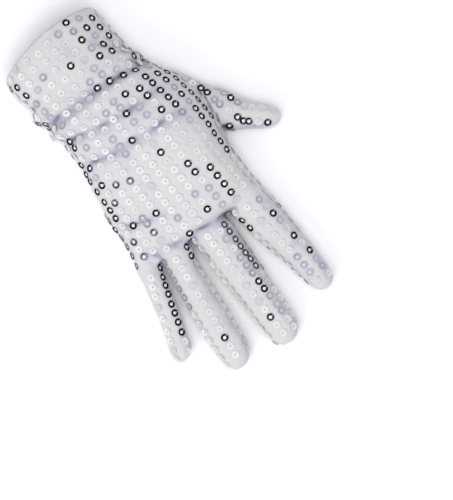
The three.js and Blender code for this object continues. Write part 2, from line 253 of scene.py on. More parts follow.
# Places along a row where the photo shows that a sequin lies, as y. The rows of each tube are
# numbered from its grain line, towards the thumb's side below nought.
Marks = namedtuple("Marks", "tube row y")
ROW_MARKS = [
    Marks("hand", -6, (42.5, 36, 29.5, 23.4, 17.2, 10.9, 4.6)),
    Marks("hand", -5, (
        65, 52.3, 39.2, 33.2, 27.1, 20.8, 14.7, 8, 1.8, -5, -15.6, -22, -35, -42.5, -50,
    )),
    Marks("hand", -4, (36.7, 30.1, 23.6, 17.6, 11.2, 4.6, -1, -8, -19, -26.2, -32.8, -40, -47, -54.5)),
    Marks("hand", -3, (88, 68, 28, 21.3, 9, 2.8, -9.8, -15.5, -21.5, -28.2, -35, -42.7, -50, -57)),
    Marks("hand", -2, (91.2, 77.9, 64.8, 58, 44.2, 32, 18.6, 0.4, -12, -18, -24, -39, -54)),
    Marks("hand", -1, (87.9, 76, 62.8, 56, 42.5, 35.7, 17.6, 10.6, 0, -13, -18.5, -33.7)),
    Marks("hand", 0, (90.4, 71.8, 58.8, 45.7, 32.4, 26, 20, 3, -3.5, -10, -15, -21.5, -29, -45)),
    Marks("hand", 1, (93.6, 69.3, 56.3, 50.2, 37.7, 30.6, 18.6, -4, -16, -23.5, -31, -38, -45.5)),
    Marks("hand", 2, (83.7, 71.3, 58.5, 45.7, 32.7, 21.5, 8.5, -4.5, -26, -33.5)),
    Marks("hand", 3, (80.2, 73.6, 68.8, 62.3, 42.5, 13, -6.5, -27, -35, -42.3)),
    Marks("hand", 4, (69.3, 51.2, 37.7, 31.6, 24.8, 9, 4, -13.5, -19.5)),
    Marks("hand", 5, (88.8, 77.7, 53.2, 47, 31.6, 26.6)),
    Marks("index", -1, (102, 114, 120, 132.7, 139.3, 145.8, 152.5, 158.2)),
    Marks("index", 0, (101.5, 119.3, 132, 144.8, 151.2, 157)),
    Marks("index", 1, (106.3, 113, 133, 152)),
    Marks("middle", -2, (102, 107.2, 113.3, 118.7, 123.8, 128.6, 134)),
    Marks("middle", -1, (110, 124.4, 136.5, 142.9, 148.6, 154.4, 161, 166)),
    Marks("middle", 0, (102, 107.8, 121.2, 147.4, 165.2)),
    Marks("ring", 0, (102, 114.8, 127.6, 158.8)),
    Marks("little", 0, (100.2, 105.9, 111, 116.4, 122.5, 128.2, 134, 140.3)),
    Marks("little", 1, (113, 127, 135)),
    Marks("thumb", 0, (17.3, 21.5, 26.7, 30.3, 42.4, 46.3, 49.6, 61.3)),
    Marks("thumb", -1, (32, 36.4, 41, 50.3)),
]

# Where the photo shows near-black sequins, as stretches of a row, and then where it shows dusky ones
# and lavender ones. There the rims get a painted reflection of that tone.
Stretch = namedtuple("Stretch", "start end")


def spot(x, y):
    return Stretch((x, y), (x, y))


BLACK_STRETCHES = [
    Stretch((-33, 88), (-31.4, 68)),
    Stretch((-22, 65), (-22, 58)),
    spot(-15.7, 88),
    spot(4, 93.6),
    spot(12.7, 71),
    spot(27.3, 69),
    spot(-12.4, 42.5),
    Stretch((29, 38), (28.8, 37)),
    spot(28, 25),
    Stretch((28.5, 9), (28.3, 4)),
    Stretch((35.5, 62), (33.5, 18)),
    Stretch((41.5, 95), (38.5, 60)),
    Stretch((38.5, 60), (35.5, 24)),
    spot(-1.7, 26),
    spot(-9.6, 10.4),
    Stretch((-46.2, 66), (-45.5, 33)),
    Stretch((-50.2, 44), (-49.4, 29.4)),
    Stretch((-49.4, 29.4), (-47.2, 17)),
    Stretch((-47.2, 17), (-44.2, 4.6)),
    spot(-42.5, 21),
    Stretch((-40.6, 8), (-38, 2)),
    Stretch((-37, 23.5), (-33, 4.6)),
    Stretch((-31, -1), (-30, -8)),
    spot(-31.5, -15.6),
    spot(-29, 21.4),
    Stretch((-26.5, 9), (-25.3, 2.7)),
    spot(-16.3, 0.4),
    spot(-22.3, -9.8),
    Stretch((-13, -12), (-4, -13)),
    Stretch((-24.3, -26.2), (-22.7, -32.8)),
    spot(-16.4, -28.2),
    Stretch((-26.6, -35), (-26, -50)),
    spot(-20.2, -47),
    spot(-13.7, -42.7),
    spot(-12, -56.8),
    spot(2, -34),
    Stretch((35, -35), (36.5, -43)),
    Stretch((36.5, -12), (37, -17)),
    spot(-46.5, 114),
    spot(-49.5, 133),
    spot(-50, 146),
    Stretch((-27, 106), (-28.5, 113)),
    Stretch((-14, 143), (-14.5, 149)),
    spot(-7.5, 165),
    spot(23.7, 159),
    Stretch((11.0, 106), (9.5, 98)),
    Stretch((31, 99), (43, 141)),
    spot(-76.5, 66),
    Stretch((-66.3, 60), (-63.1, 53)),
    Stretch((-55.5, 56), (-53, 49)),
    spot(-66.3, 41.1),
    spot(-56.9, 29.4),
    spot(-53.7, 26.7),
]
DUSKY_STRETCHES = [
    Stretch((18.4, 81), (18.6, 80)),
    spot(35.3, 89),
    spot(33.5, 77),
    spot(14.6, 46),
    spot(22, 42),
    spot(28.3, 51),
    Stretch((-18.0, 134), (-18.2, 118)),
    Stretch((-18.2, 118), (-19.4, 101)),
]
LAVENDER_STRETCHES = [
    Stretch((-24, 92), (-23.8, 78)),
    spot(-14, 77),
    Stretch((19.5, 74), (20.5, 68)),
    spot(2.5, 82.5),
    spot(28.8, 32),
    Stretch((-44, 102), (-43.6, 94)),
    spot(-47.5, 120),
    Stretch((-43, 158), (-43, 144)),
    Stretch((-49.8, 158), (-49.6, 152)),
    spot(-13, 110),
    Stretch((-14, 124), (-14, 136)),
    Stretch((-15, 154), (-16, 168)),
    Stretch((28.5, 130), (28, 100)),
    Stretch((-41, 15), (-44, 27)),
    Stretch((-38, 30), (-38, 37)),
    Stretch((5, 31), (7, 19)),
    Stretch((-19, 19), (-18, 12)),
    Stretch((-10.5, 18), (-8, 0)),
    spot(2, 3),
    spot(-37, -5),
    spot(-20, -16),
    spot(-20.5, -15.5),
    Stretch((-10.5, -18), (-2, -19)),
    spot(-9.5, -24),
    Stretch((-14.5, -35), (-13.4, -36)),
    Stretch((-11.5, -51), (-12, -51)),
    Stretch((-21, -40), (-20, -55)),
    spot(-5, -55),
    Stretch((27, -7), (30, -14)),
    Stretch((33, -20), (34, -28)),
    spot(28.5, -34),
    spot(21, -38),
    spot(34, -49),
    spot(22.5, 14),
    Stretch((-68.5, 45.5), (-64.1, 37.2)),
    Stretch((-58.9, 40), (-58.3, 35.5)),
]
# Places where the photo's sequins are as grey as the cloth, and hardly show: their rims get a grey
# painted reflection.
Area = namedtuple("Area", "x y reach")
GREY_REFLECTION_AREAS = [
    Area(-35, 46, 14),
    Area(-40, 62, 10),
    Area(-1, -47, 9),
    Area(-12, -50, 8),
    Area(-40, 122, 16),
    Area(-45, 150, 14),
    Area(-8, 140, 14),
    Area(30, 52, 6),
    Area(20, 145, 12),
    Area(-74, 50, 28),
]

# How the rows run, and how a sequin is set down on the cloth under its row.
ROWS_EACH_WAY = 9  # rows tried on each side of the middle one: those past the cloth's edge drop out
ROWS_START = {"hand": MOUTH_Y + 1.0, "thumb": 9.0}  # where along each tube its rows start
FINGER_ROWS_START = 99.5
TIP_CLEAR = 2.5  # how far from the tip the rows end
SHORTEST_ROW = 1.2  # in pitches
UNMARKED = (58.3, 61.5)  # where the even and odd rows with no marks have a sequin, as y
RAY_START = 3.0  # how far over its row a sequin's way down to the cloth starts
RAY_REACH = 12.0
RAYS_ROUND = 8  # points of a sequin's rim from which the cloth is felt for
FEWEST_CONTACTS = 5
EDGE_DROP = 2.0  # cloth that lies further below the rest is past an edge, and carries no sequin
RESTING = 0.8  # how far a sequin is lifted to its highest contact: the cloth gives a little
STITCH_WAY = (-1.0, -0.15, 0.0)  # from a sequin's hole to where its stitch goes over the rim
STITCH_STRAY = 0.35
CUP_RANGE = (0.75, 1.25)  # how unevenly deep the sequins are

SIDE_Z = 14.5  # below this height the back's sequins are seen edge-on, and more of them get a painted dark reflection
FINGERS_Y = 100.0  # the fingers, past this, have few sequins with a painted dark reflection
STRETCH_REACH = 2.4  # how near a sequin has to lie to a stretch to belong to it
# how bright the reflection painted on a sequin's rim is
BLACK, DUSKY, LAVENDER, GREY, WHITE = 0.0, 0.12, 0.5, 0.75, 1.0

# Where fingers and thumb leave the hand, how far round each place the cloth is eased smooth, and
# how much painted shade darkens the cloth down between them.
Web = namedtuple("Web", "x y reach gloom")
WEBS = [
    Web(-23, 94, 7, 1.4),
    Web(5.5, 95, 7, 2.2),
    Web(28, 90, 7, 2.2),
    Web(-50, 56, 9, 1.0),
    Web(-47, 6, 10, 0.0),
    Web(-50, 100, 8, 0.0),
    Web(41, 90, 9, 0.0),
]
SIDE_SHADE = 0.1  # the slopes towards the thumb lie away from the light
FINGER_SHADE = 0.42  # and those of the fingers more so
MOST_SHADE = 2.0  # painted shade: up to 1 the cloth turns lavender, and from there to 2 near black
SHADE_PATCH = 7.0  # how wide the patches are in which the folds are darker or lighter
RIPPLE_LONG = 11.0  # the cloth's slight waves, and the finer ones on them
RIPPLE_SHORT = 4.5
GROOVE_REACH = 1.6  # how far to either side a seam draws the cloth in
GRAIN_TURNS_Z = 26.0  # below this height the ribs follow the cloth down the sides


def smoothstep(x, low, high):
    t = np.clip((x - low) / (high - low), 0.0, 1.0)
    return t * t * (3 - 2 * t)


def section_at(rows, y):
    """A section between the rows of a table, on a smooth curve through each column."""
    table = np.array(rows, dtype=float)
    last = len(rows) - 1
    i = int(np.clip(np.searchsorted(table[:, 0], y) - 1, 0, last - 1))
    low, high = max(i - 1, 0), min(i + 2, last)
    span = table[i + 1, 0] - table[i, 0]
    slope_here = (table[i + 1] - table[low]) / (table[i + 1, 0] - table[low, 0])
    slope_next = (table[high] - table[i]) / (table[high, 0] - table[i, 0])
    t = min(max((y - table[i, 0]) / span, 0.0), 1.0)
    made = (
        table[i] * (2 * t**3 - 3 * t**2 + 1)
        + table[i + 1] * (3 * t**2 - 2 * t**3)
        + slope_here * span * (t**3 - 2 * t**2 + t)
        + slope_next * span * (t**3 - t**2)
    )
    return Section(y, *made[1:])


class Tube:
    """One closed tube of the pattern: the hand with its sleeve, a finger or the thumb."""

    ROUND_STEPS = 18
    CROWN_STEPS = 30
    TOE_STEPS = 8

    def __init__(self, rows, seam, finger=None):
        self.rows = rows
        self.seam = seam
        self.finger = finger
        self.turned = finger is THUMB
        self.start = rows[0].y
        self.last = rows[-1].y
        self.end = finger.tip_y if finger else self.last

    def section(self, y):
        """The section at y, and the share of its height that is left near a rounded tip."""
        if y <= self.last or not self.finger:
            return section_at(self.rows, y), 1.0
        share = (y - self.last) / (self.end - self.last)
        swell = max(1 - share**TIP_BLUNTNESS, 0.0) ** (1 / TIP_BLUNTNESS)
        row = self.rows[-1]
        middle = (row.left + row.right) / 2
        centre = middle + (self.finger.tip_x - middle) * share**2
        half = (row.right - row.left) / 2 * swell
        return Section(y, centre - half, centre + half, row.top, 0.0, half, half), swell

    def top_line(self, y):
        """The upper side of the section from seam to seam, as points (x, z)."""
        row, swell = self.section(y)
        rise = (row.top - self.seam) * swell
        fall = row.fall * swell
        width = row.right - row.left
        left_reach = min(row.round_left, width / 2)
        right_reach = min(row.round_right, width - left_reach)
        angle = np.linspace(math.pi, math.pi / 2, self.ROUND_STEPS)
        left = np.column_stack([row.left + left_reach * (1 + np.cos(angle)), rise * np.sin(angle)])
        t = np.linspace(0, 1, self.CROWN_STEPS)
        bulge = CROWN * 4 * t * (1 - t) if width > CROWN_WIDTH else 0 * t
        crown_x = row.left + left_reach + (width - left_reach - right_reach) * t
        crown = np.column_stack([crown_x, rise - fall * t + bulge])
        angle = np.linspace(math.pi / 2, 0, self.ROUND_STEPS)
        right_x = row.right - right_reach * (1 - np.cos(angle))
        right = np.column_stack([right_x, (rise - fall) * np.sin(angle)])
        line = np.vstack([left, crown[1:-1], right])
        line[:, 1] += self.seam
        return line

    def under_line(self, y):
        """The lower side of the section, from the left seam to the right one, as points (x, z)."""
        row, swell = self.section(y)
        drop = (self.seam - UNDER) * swell
        toe = min(TOE, (row.right - row.left) * 0.36)
        angle = np.linspace(0, math.pi / 2, self.TOE_STEPS)
        inset, height = toe * (1 - np.cos(angle)), self.seam - drop * np.sin(angle)
        left = np.column_stack([row.left + inset, height])
        right = np.column_stack([row.right - inset, height])
        flat_x = np.linspace(left[-1, 0], right[-1, 0], self.CROWN_STEPS)[1:-1]
        flat = np.column_stack([flat_x, np.full(len(flat_x), self.seam - drop)])
        return np.vstack([left, flat, right[::-1]])

    def placed(self, points):
        """Points of this tube's own axis, turned and moved into the pattern."""
        if not self.turned:
            return points
        c, s = math.cos(THUMB_TURN), math.sin(THUMB_TURN)
        turned = points.copy()
        turned[:, 0] = THUMB_ROOT.x + c * points[:, 0] - s * points[:, 1]
        turned[:, 1] = THUMB_ROOT.y + s * points[:, 0] + c * points[:, 1]
        return turned

    def solid(self, step=1.5):
        """The closed tube, as points and faces that look outwards."""
        stations = list(np.arange(self.start, self.last, step))
        if self.finger:
            reach = self.end - self.last
            stations += [self.last + reach * math.sin(a) for a in np.linspace(0, 1.5, 12)]
        else:
            stations.append(self.last)
        rings = []
        for y in stations:
            top, under = self.top_line(y), self.under_line(y)
            line = np.vstack([top, under[-2:0:-1]])
            rings.append(np.column_stack([line[:, 0], np.full(len(line), y), line[:, 1]]))
        count = len(rings[0])
        points = self.placed(np.vstack(rings))
        hubs = np.vstack([points[:count].mean(axis=0), points[-count:].mean(axis=0)])
        faces = []
        around = [(j, (j + 1) % count) for j in range(count)]
        for i in range(len(rings) - 1):
            base = i * count
            faces += [(base + a, base + b, base + b + count, base + a + count) for a, b in around]
        first_hub, last_hub = len(points), len(points) + 1
        base = (len(rings) - 1) * count
        faces += [(first_hub, b, a) for a, b in around]
        faces += [(last_hub, base + a, base + b) for a, b in around]
        return np.vstack([points, hubs]), faces


def fold_field(x, y):
    """How deep the folds and creases press in at points of the pattern, and how shaded they are."""
    depth, shade = np.zeros_like(x), np.zeros_like(x)
    for fold in FOLDS:
        line = np.polyval(np.polyfit(fold.x, fold.y, 2), x)
        begun = smoothstep(x, fold.x[0] - 4, fold.x[0] + 5)
        inside = begun * (1 - smoothstep(x, fold.x[2] - 5, fold.x[2] + 4))
        off = (y - line) / fold.width
        valley = np.exp(-np.abs(off) ** 1.6)
        shoulder = np.exp(-((np.abs(off) - 2.1) ** 2))
        depth += fold.depth * inside * (valley - 0.28 * shoulder)
        core, halo = np.exp(-((off / 0.95) ** 2)), np.exp(-((off / 2.5) ** 2))
        shade += fold.shade * inside * (0.7 * core + 0.4 * halo)
    for crease in CREASES:
        start, run = np.array(crease.start, float), np.subtract(crease.end, crease.start)
        along = ((x - start[0]) * run[0] + (y - start[1]) * run[1]) / (run @ run)
        nearest = np.clip(along, 0, 1)
        off_x, off_y = (p - start[i] - nearest * run[i] for i, p in enumerate((x, y)))
        off = np.hypot(off_x, off_y) / crease.width
        taper = smoothstep(along, -0.1, 0.35) * (1 - smoothstep(along, 0.65, 1.1))
        depth += crease.depth * taper * np.exp(-np.abs(off) ** 1.5)
        shade += crease.shade * taper * np.exp(-((off / 1.3) ** 2))
    return depth, np.clip(shade, 0, MOST_SHADE)


def beside_thumb_of(x, y):
    """1 on the thumb, fading out over its seam."""
    return (1 - smoothstep(x, THUMB_SEAM_X - 3, THUMB_SEAM_X + 1)) * (y < THUMB_SIDE_Y)


def mouth_of(tube):
    """The middle and half the width of the sleeve at its mouth."""
    row, _ = tube.section(MOUTH_Y)
    return (row.left + row.right) / 2, (row.right - row.left) / 2


def mouth_shift(x, y, middle, half):
    """How far the mouth's curve moves a point along the sleeve."""
    across = (x - middle) / half
    felt = 1 - smoothstep(y, MOUTH_Y, MOUTH_Y + MOUTH_REACH)
    return (MOUTH_BOW * across**2 + MOUTH_SKEW * across) * felt


def seen(x, y, z):
    """Where the camera sees a point of the pattern, as a place of the photo."""
    spread = CAMERA_RISE / (CAMERA_RISE + AIM.z - z)
    return AIM.x + (x - AIM.x) * spread, AIM.y + (y - AIM.y) * spread


def to_part(points):
    """Points of the pattern in millimetres, as points of the part in metres."""
    return (np.asarray(points, float) - np.array(ORIGIN)) * MM


def new_object(name, mesh):
    made = bpy.data.objects.new(name, mesh)
    bpy.context.scene.collection.objects.link(made)
    return made


def evaluated(obj):
    """The object's mesh with its modifiers applied, as a new mesh."""
    depsgraph = bpy.context.evaluated_depsgraph_get()
    return bpy.data.meshes.new_from_object(obj.evaluated_get(depsgraph), depsgraph=depsgraph)


def remove(obj):
    data = obj.data
    bpy.data.objects.remove(obj)
    if data.users == 0:
        bpy.data.meshes.remove(data)


def read_points(mesh):
    points = np.empty(len(mesh.vertices) * 3)
    mesh.vertices.foreach_get("co", points)
    return points.reshape(-1, 3)


def write_points(mesh, points):
    mesh.vertices.foreach_set("co", points.ravel())
    mesh.update()


def read_normals(mesh):
    normals = np.empty(len(mesh.vertices) * 3)
    mesh.vertex_normals.foreach_get("vector", normals)
    return normals.reshape(-1, 3)


def read_edges(mesh):
    edges = np.empty(len(mesh.edges) * 2, dtype=int)
    mesh.edges.foreach_get("vertices", edges)
    return edges.reshape(-1, 2)


def store(mesh, name, kind, values):
    """A named value for every point of a mesh, such as how shaded it is."""
    layer = mesh.attributes.new(name, kind, "POINT")
    key = "vector" if kind == "FLOAT_VECTOR" else "value"
    layer.data.foreach_set(key, np.asarray(values, float).ravel())


def relax(points, edges, share, rounds, held=None):
    """Smooths points towards their neighbours without shrinking the form. share weights each point."""
    a, b = edges[:, 0], edges[:, 1]
    count = len(points)
    degree = np.bincount(a, minlength=count) + np.bincount(b, minlength=count)
    share = np.broadcast_to(share, count)[:, None]
    kept = points[held].copy() if held is not None else None
    for turn in range(rounds * 2):
        pull = 0.52 if turn % 2 == 0 else -0.54
        mean = np.empty_like(points)
        for k in range(3):
            total = np.bincount(a, points[b, k], count) + np.bincount(b, points[a, k], count)
            mean[:, k] = total / degree
        points = points + (mean - points) * pull * share
        if held is not None:
            points[held, 1] = kept[:, 1]
    return points


def all_tubes(seam):
    tubes = {"hand": Tube(HAND, seam)}
    for finger in (INDEX, MIDDLE, RING, LITTLE, THUMB):
        tubes[finger.name] = Tube(finger.rows, seam, finger)
    return tubes


def cloth_skin(sizes):
    """The whole glove's outer surface as one mesh in millimetres of the pattern, open at the mouth."""
    points, faces = [], []
    for tube in all_tubes(sizes.seam_height / MM).values():
        tube_points, tube_faces = tube.solid()
        base = sum(len(p) for p in points)
        points.append(tube_points)
        faces += [tuple(base + i for i in face) for face in tube_faces]
    mesh = bpy.data.meshes.new("skin")
    mesh.from_pydata(np.vstack(points).tolist(), [], faces)
    skin = new_object("skin", mesh)
    remesh = skin.modifiers.new("one skin", "REMESH")
    remesh.mode = "VOXEL"
    remesh.voxel_size = sizes.grid / MM
    whole = evaluated(skin)
    remove(skin)

    bm = bmesh.new()
    bm.from_mesh(whole)
    everything = bm.verts[:] + bm.edges[:] + bm.faces[:]
    bmesh.ops.bisect_plane(
        bm, geom=everything, plane_co=(0, MOUTH_Y, 0), plane_no=(0, -1, 0), clear_outer=True
    )
    bmesh.ops.remove_doubles(bm, verts=bm.verts, dist=0.02)
    bm.to_mesh(whole)
    bm.free()
    return whole


def web_field(x, y):
    """Round the webs between the fingers: how much the cloth is eased smooth, and how much painted
    shade darkens it.
    """
    near, gloom = np.zeros_like(x), np.zeros_like(x)
    for web in WEBS:
        far = np.hypot(x - web.x, y - web.y) / web.reach
        near = np.maximum(near, 1 - smoothstep(far, 0.55, 1.0))
        gloom = np.maximum(gloom, web.gloom * (1 - smoothstep(far, 0.5, 1.9)))
    return near, gloom


def cloth_shade(points, normals, folds, gloom, seam):
    """The painted shade on the cloth: in its folds, on sides that lie away from the light and at the
    webs.
    """
    x, y, z = points.T
    patches = np.array([
        noise.noise(Vector((px / SHADE_PATCH, py / SHADE_PATCH, 1.3))) for px, py in zip(x, y)
    ])
    on_thumb = beside_thumb_of(x, y)
    shade = folds * (0.85 + 0.6 * patches) + THUMB_SHADE * on_thumb
    away = smoothstep(-normals[:, 0], 0.1, 0.8) * smoothstep(normals[:, 2], -0.2, 0.2)
    away = away * (1 - on_thumb)
    on_finger = smoothstep(-normals[:, 0], 0.0, 0.55) * smoothstep(y, FINGERS_Y - 3, FINGERS_Y + 9)
    shade += SIDE_SHADE * away + FINGER_SHADE * on_finger * smoothstep(z, seam - 3, seam + 1)
    # painted shade, near black, low down at the webs between the fingers
    shade += gloom * (1 - smoothstep(z, seam - 1, seam + 9))
    return np.clip(shade, 0, MOST_SHADE)


def seam_grooves(x, y, z, seam):
    """1 along the seams round the hand and the thumb, fading out to both sides."""
    groove = np.clip(1 - np.abs(z - seam) / GROOVE_REACH, 0, 1) ** 2
    thumb_groove = np.clip(1 - np.abs(x - THUMB_SEAM_X) / GROOVE_REACH, 0, 1) ** 2
    return np.maximum(groove, thumb_groove * (y < THUMB_SIDE_Y))


def shape_skin(mesh, sizes):
    """Smooths the skin, eases it at the webs, presses the folds in and curves the mouth."""
    seam = sizes.seam_height / MM
    points, edges = read_points(mesh), read_edges(mesh)
    rim = np.flatnonzero(points[:, 1] < MOUTH_Y + ON_PLANE)
    points = relax(points, edges, 1.0, 6, rim)
    near_web, gloom = web_field(points[:, 0], points[:, 1])
    points = relax(points, edges, near_web, 22)
    write_points(mesh, points)

    normals = read_normals(mesh)
    x, y, z = points.T
    depth, folds = fold_field(x, y)
    lifted = smoothstep(z, 2.5, seam + 3)
    shade = cloth_shade(points, normals, folds * lifted, gloom, seam)
    quiet = smoothstep(y, MOUTH_Y + 1, MOUTH_Y + 12) * smoothstep(z, UNDER + 0.3, seam)
    ripple = np.array([
        noise.noise(Vector(p) / RIPPLE_LONG) + 0.5 * noise.noise(Vector(p) / RIPPLE_SHORT)
        for p in points
    ])
    press = depth * lifted + sizes.ripple / MM * ripple * quiet
    press += sizes.seam_groove / MM * seam_grooves(x, y, z, seam)
    points = points - normals * press[:, None]
    points[:, 2] = np.maximum(points[:, 2], UNDER)

    x, y, z = points.T
    points[:, 1] += mouth_shift(x, y, *mouth_of(Tube(HAND, seam)))
    write_points(mesh, points)
    store(mesh, "shade", "FLOAT", shade)
    side = np.sign(normals[:, 0]) * np.maximum(0, GRAIN_TURNS_Z - z)
    grain = np.column_stack([(x + side) * MM, y * MM, z * 0])
    store(mesh, "grain", "FLOAT_VECTOR", grain)


def finished(bm, name):
    """The work of a bmesh, as a mesh of its own."""
    mesh = bpy.data.meshes.new(name)
    bm.to_mesh(mesh)
    bm.free()
    return mesh


def keep_side(bm, point, outward, wanted=None):
    """Cuts a mesh at a plane and keeps what lies behind it. wanted limits the cut to some faces."""
    geom = bm.verts[:] + bm.edges[:] + bm.faces[:]
    if wanted:
        faces = [f for f in bm.faces if wanted(f.calc_center_median())]
        # dictionaries keep their order, so that every run gives the same mesh
        verts = dict.fromkeys(v for f in faces for v in f.verts)
        edges = dict.fromkeys(e for f in faces for e in f.edges)
        geom = [*verts, *edges, *faces]
    bmesh.ops.bisect_plane(
        bm, geom=geom, dist=1e-5, plane_co=point, plane_no=outward, clear_outer=True
    )


def thicken(bm, wall):
    """Gives an open sheet a wall inwards, with rims along its open edges."""
    bm.normal_update()
    rim = [e for e in bm.edges if e.is_boundary]
    normals = [(v, v.normal.copy()) for v in bm.verts]
    made = bmesh.ops.duplicate(bm, geom=bm.verts[:] + bm.edges[:] + bm.faces[:])
    inner = made["vert_map"]
    for v, normal in normals:
        inner[v].co = v.co - normal * wall
    bmesh.ops.reverse_faces(bm, faces=[f for f in made["geom"] if isinstance(f, bmesh.types.BMFace)])
    for edge in rim:
        loop = edge.link_loops[0]
        a, b = loop.vert, loop.link_loop_next.vert
        bm.faces.new((b, a, inner[a], inner[b]))


def largest_shell(bm):
    """Deletes all but the largest connected sheet of a mesh."""
    left = set(bm.verts)
    shells = []
    while left:
        found, todo = set(), [left.pop()]
        while todo:
            v = todo.pop()
            if v in found:
                continue
            found.add(v)
            todo += [e.other_vert(v) for e in v.link_edges if e.other_vert(v) not in found]
        left -= found
        shells.append(found)
    keep = max(shells, key=len)
    bmesh.ops.delete(bm, geom=[v for v in bm.verts if v not in keep], context="VERTS")


def cut_piece(skin, name, cuts, sizes):
    """One sewn piece: the skin behind some planes, drawn back at its edges and given its wall."""
    bm = bmesh.new()
    bm.from_mesh(skin)
    for point, outward, wanted in cuts:
        keep_side(bm, Vector(point), Vector(outward), wanted)
    largest_shell(bm)
    mouth_end = MOUTH_Y + MOUTH_BOW + MOUTH_SKEW
    for v in bm.verts:
        off_seam = abs(v.co.z - sizes.seam_height / MM) > ON_PLANE
        if not v.is_boundary or v.co.y < mouth_end and off_seam:
            continue
        for point, outward, _ in cuts:
            if abs((v.co - Vector(point)).dot(Vector(outward))) < ON_PLANE:
                v.co -= Vector(outward) * PART_GAP
    thicken(bm, sizes.wall / MM)
    mesh = finished(bm, name)
    write_points(mesh, to_part(read_points(mesh)))
    mesh.shade_smooth()
    return new_object(name, mesh)


class Maths:
    """A shader socket that takes part in arithmetic, so that a material reads as an expression."""

    def __init__(self, tree, socket):
        self.tree = tree
        self.socket = socket

    def _math(self, operation, *values):
        made = self.tree.node("ShaderNodeMath", {"operation": operation}, *values)
        return made

    def __add__(self, other):
        return self._math("ADD", self, other)

    def __sub__(self, other):
        return self._math("SUBTRACT", self, other)

    def __rsub__(self, other):
        return self._math("SUBTRACT", other, self)

    def __mul__(self, other):
        return self._math("MULTIPLY", self, other)

    def __truediv__(self, other):
        return self._math("DIVIDE", self, other)

    def absolute(self):
        return self._math("ABSOLUTE", self)

    def clamped(self):
        return self.tree.node("ShaderNodeClamp", {}, self)


class Finish:
    """A material's node tree."""

    def __init__(self, name):
        self.material = bpy.data.materials.new(name)
        self.material.use_nodes = True
        self.nodes = self.material.node_tree.nodes
        self.links = self.material.node_tree.links
        self.shader = self.nodes["Principled BSDF"]

    def put(self, socket, value):
        if isinstance(value, Maths):
            self.links.new(value.socket, socket)
        else:
            socket.default_value = value

    def node(self, kind, settings, *values, out=0, **named):
        """Adds a node with its settings and the values of its sockets, and gives an output."""
        made = self.nodes.new(kind)
        for key, value in settings.items():
            setattr(made, key, value)
        for socket, value in zip(made.inputs, values):
            self.put(socket, value)
        for key, value in named.items():
            self.put(made.inputs[key.replace("_", " ")], value)
        return Maths(self, made.outputs[out])

    def attribute(self, name, out="Fac"):
        return self.node("ShaderNodeAttribute", {"attribute_name": name}, out=out)

    def mix(self, factor, low, high):
        """Between two colours."""
        made = self.nodes.new("ShaderNodeMix")
        made.data_type = "RGBA"
        self.put(made.inputs[0], factor)
        self.put(made.inputs[6], low)
        self.put(made.inputs[7], high)
        return Maths(self, made.outputs[2])

    def surface(self, **values):
        for key, value in values.items():
            self.put(self.shader.inputs[key.replace("_", " ")], value)


def colour(rgb):
    return (*rgb, 1.0)


def knit_finish(colours):
    """White stretch knit: fine ribs that follow the grain, random lavender mottling, and painted shade
    that turns it lavender in the folds and on slopes away from the light, and near black where
    deepest.
    """
    finish = Finish("stretch knit")
    grain = finish.attribute("grain", "Vector")
    shade = finish.attribute("shade")
    ribs = finish.node("ShaderNodeTexWave", {"bands_direction": "X"}, grain, 520.0, 1.2, 1.0)
    loops = finish.node("ShaderNodeTexWave", {"bands_direction": "Y"}, grain, 700.0, 1.5, 1.0)
    place = finish.node("ShaderNodeTexCoord", {}, out="Object")
    blotch = finish.node("ShaderNodeTexNoise", {}, place, Scale=70.0, Detail=3.0)
    speckle = finish.node("ShaderNodeTexNoise", {}, place, Scale=420.0, Detail=2.0)
    # painted shade from the shade attribute: lavender up to 1, near black from 1 to 2; the noise adds
    # random lavender mottling
    tint = (shade * 0.9 + (blotch - 0.5) * 0.7 + (speckle - 0.5) * 0.5).clamped()
    cloth = finish.mix(tint, colour(colours.knit), colour(colours.knit_fold_shade))
    finish.surface(
        Base_Color=finish.mix((shade - 1).clamped(), cloth, colour(colours.knit_deep)),
        Roughness=0.82,
        Sheen_Weight=0.25,
        Sheen_Roughness=0.5,
    )
    height = ribs * 0.6 + loops * 0.4 + blotch * 0.4
    bump = finish.node("ShaderNodeBump", {}, Strength=0.25, Distance=0.00018, Height=height)
    finish.surface(Normal=bump)
    return finish.material


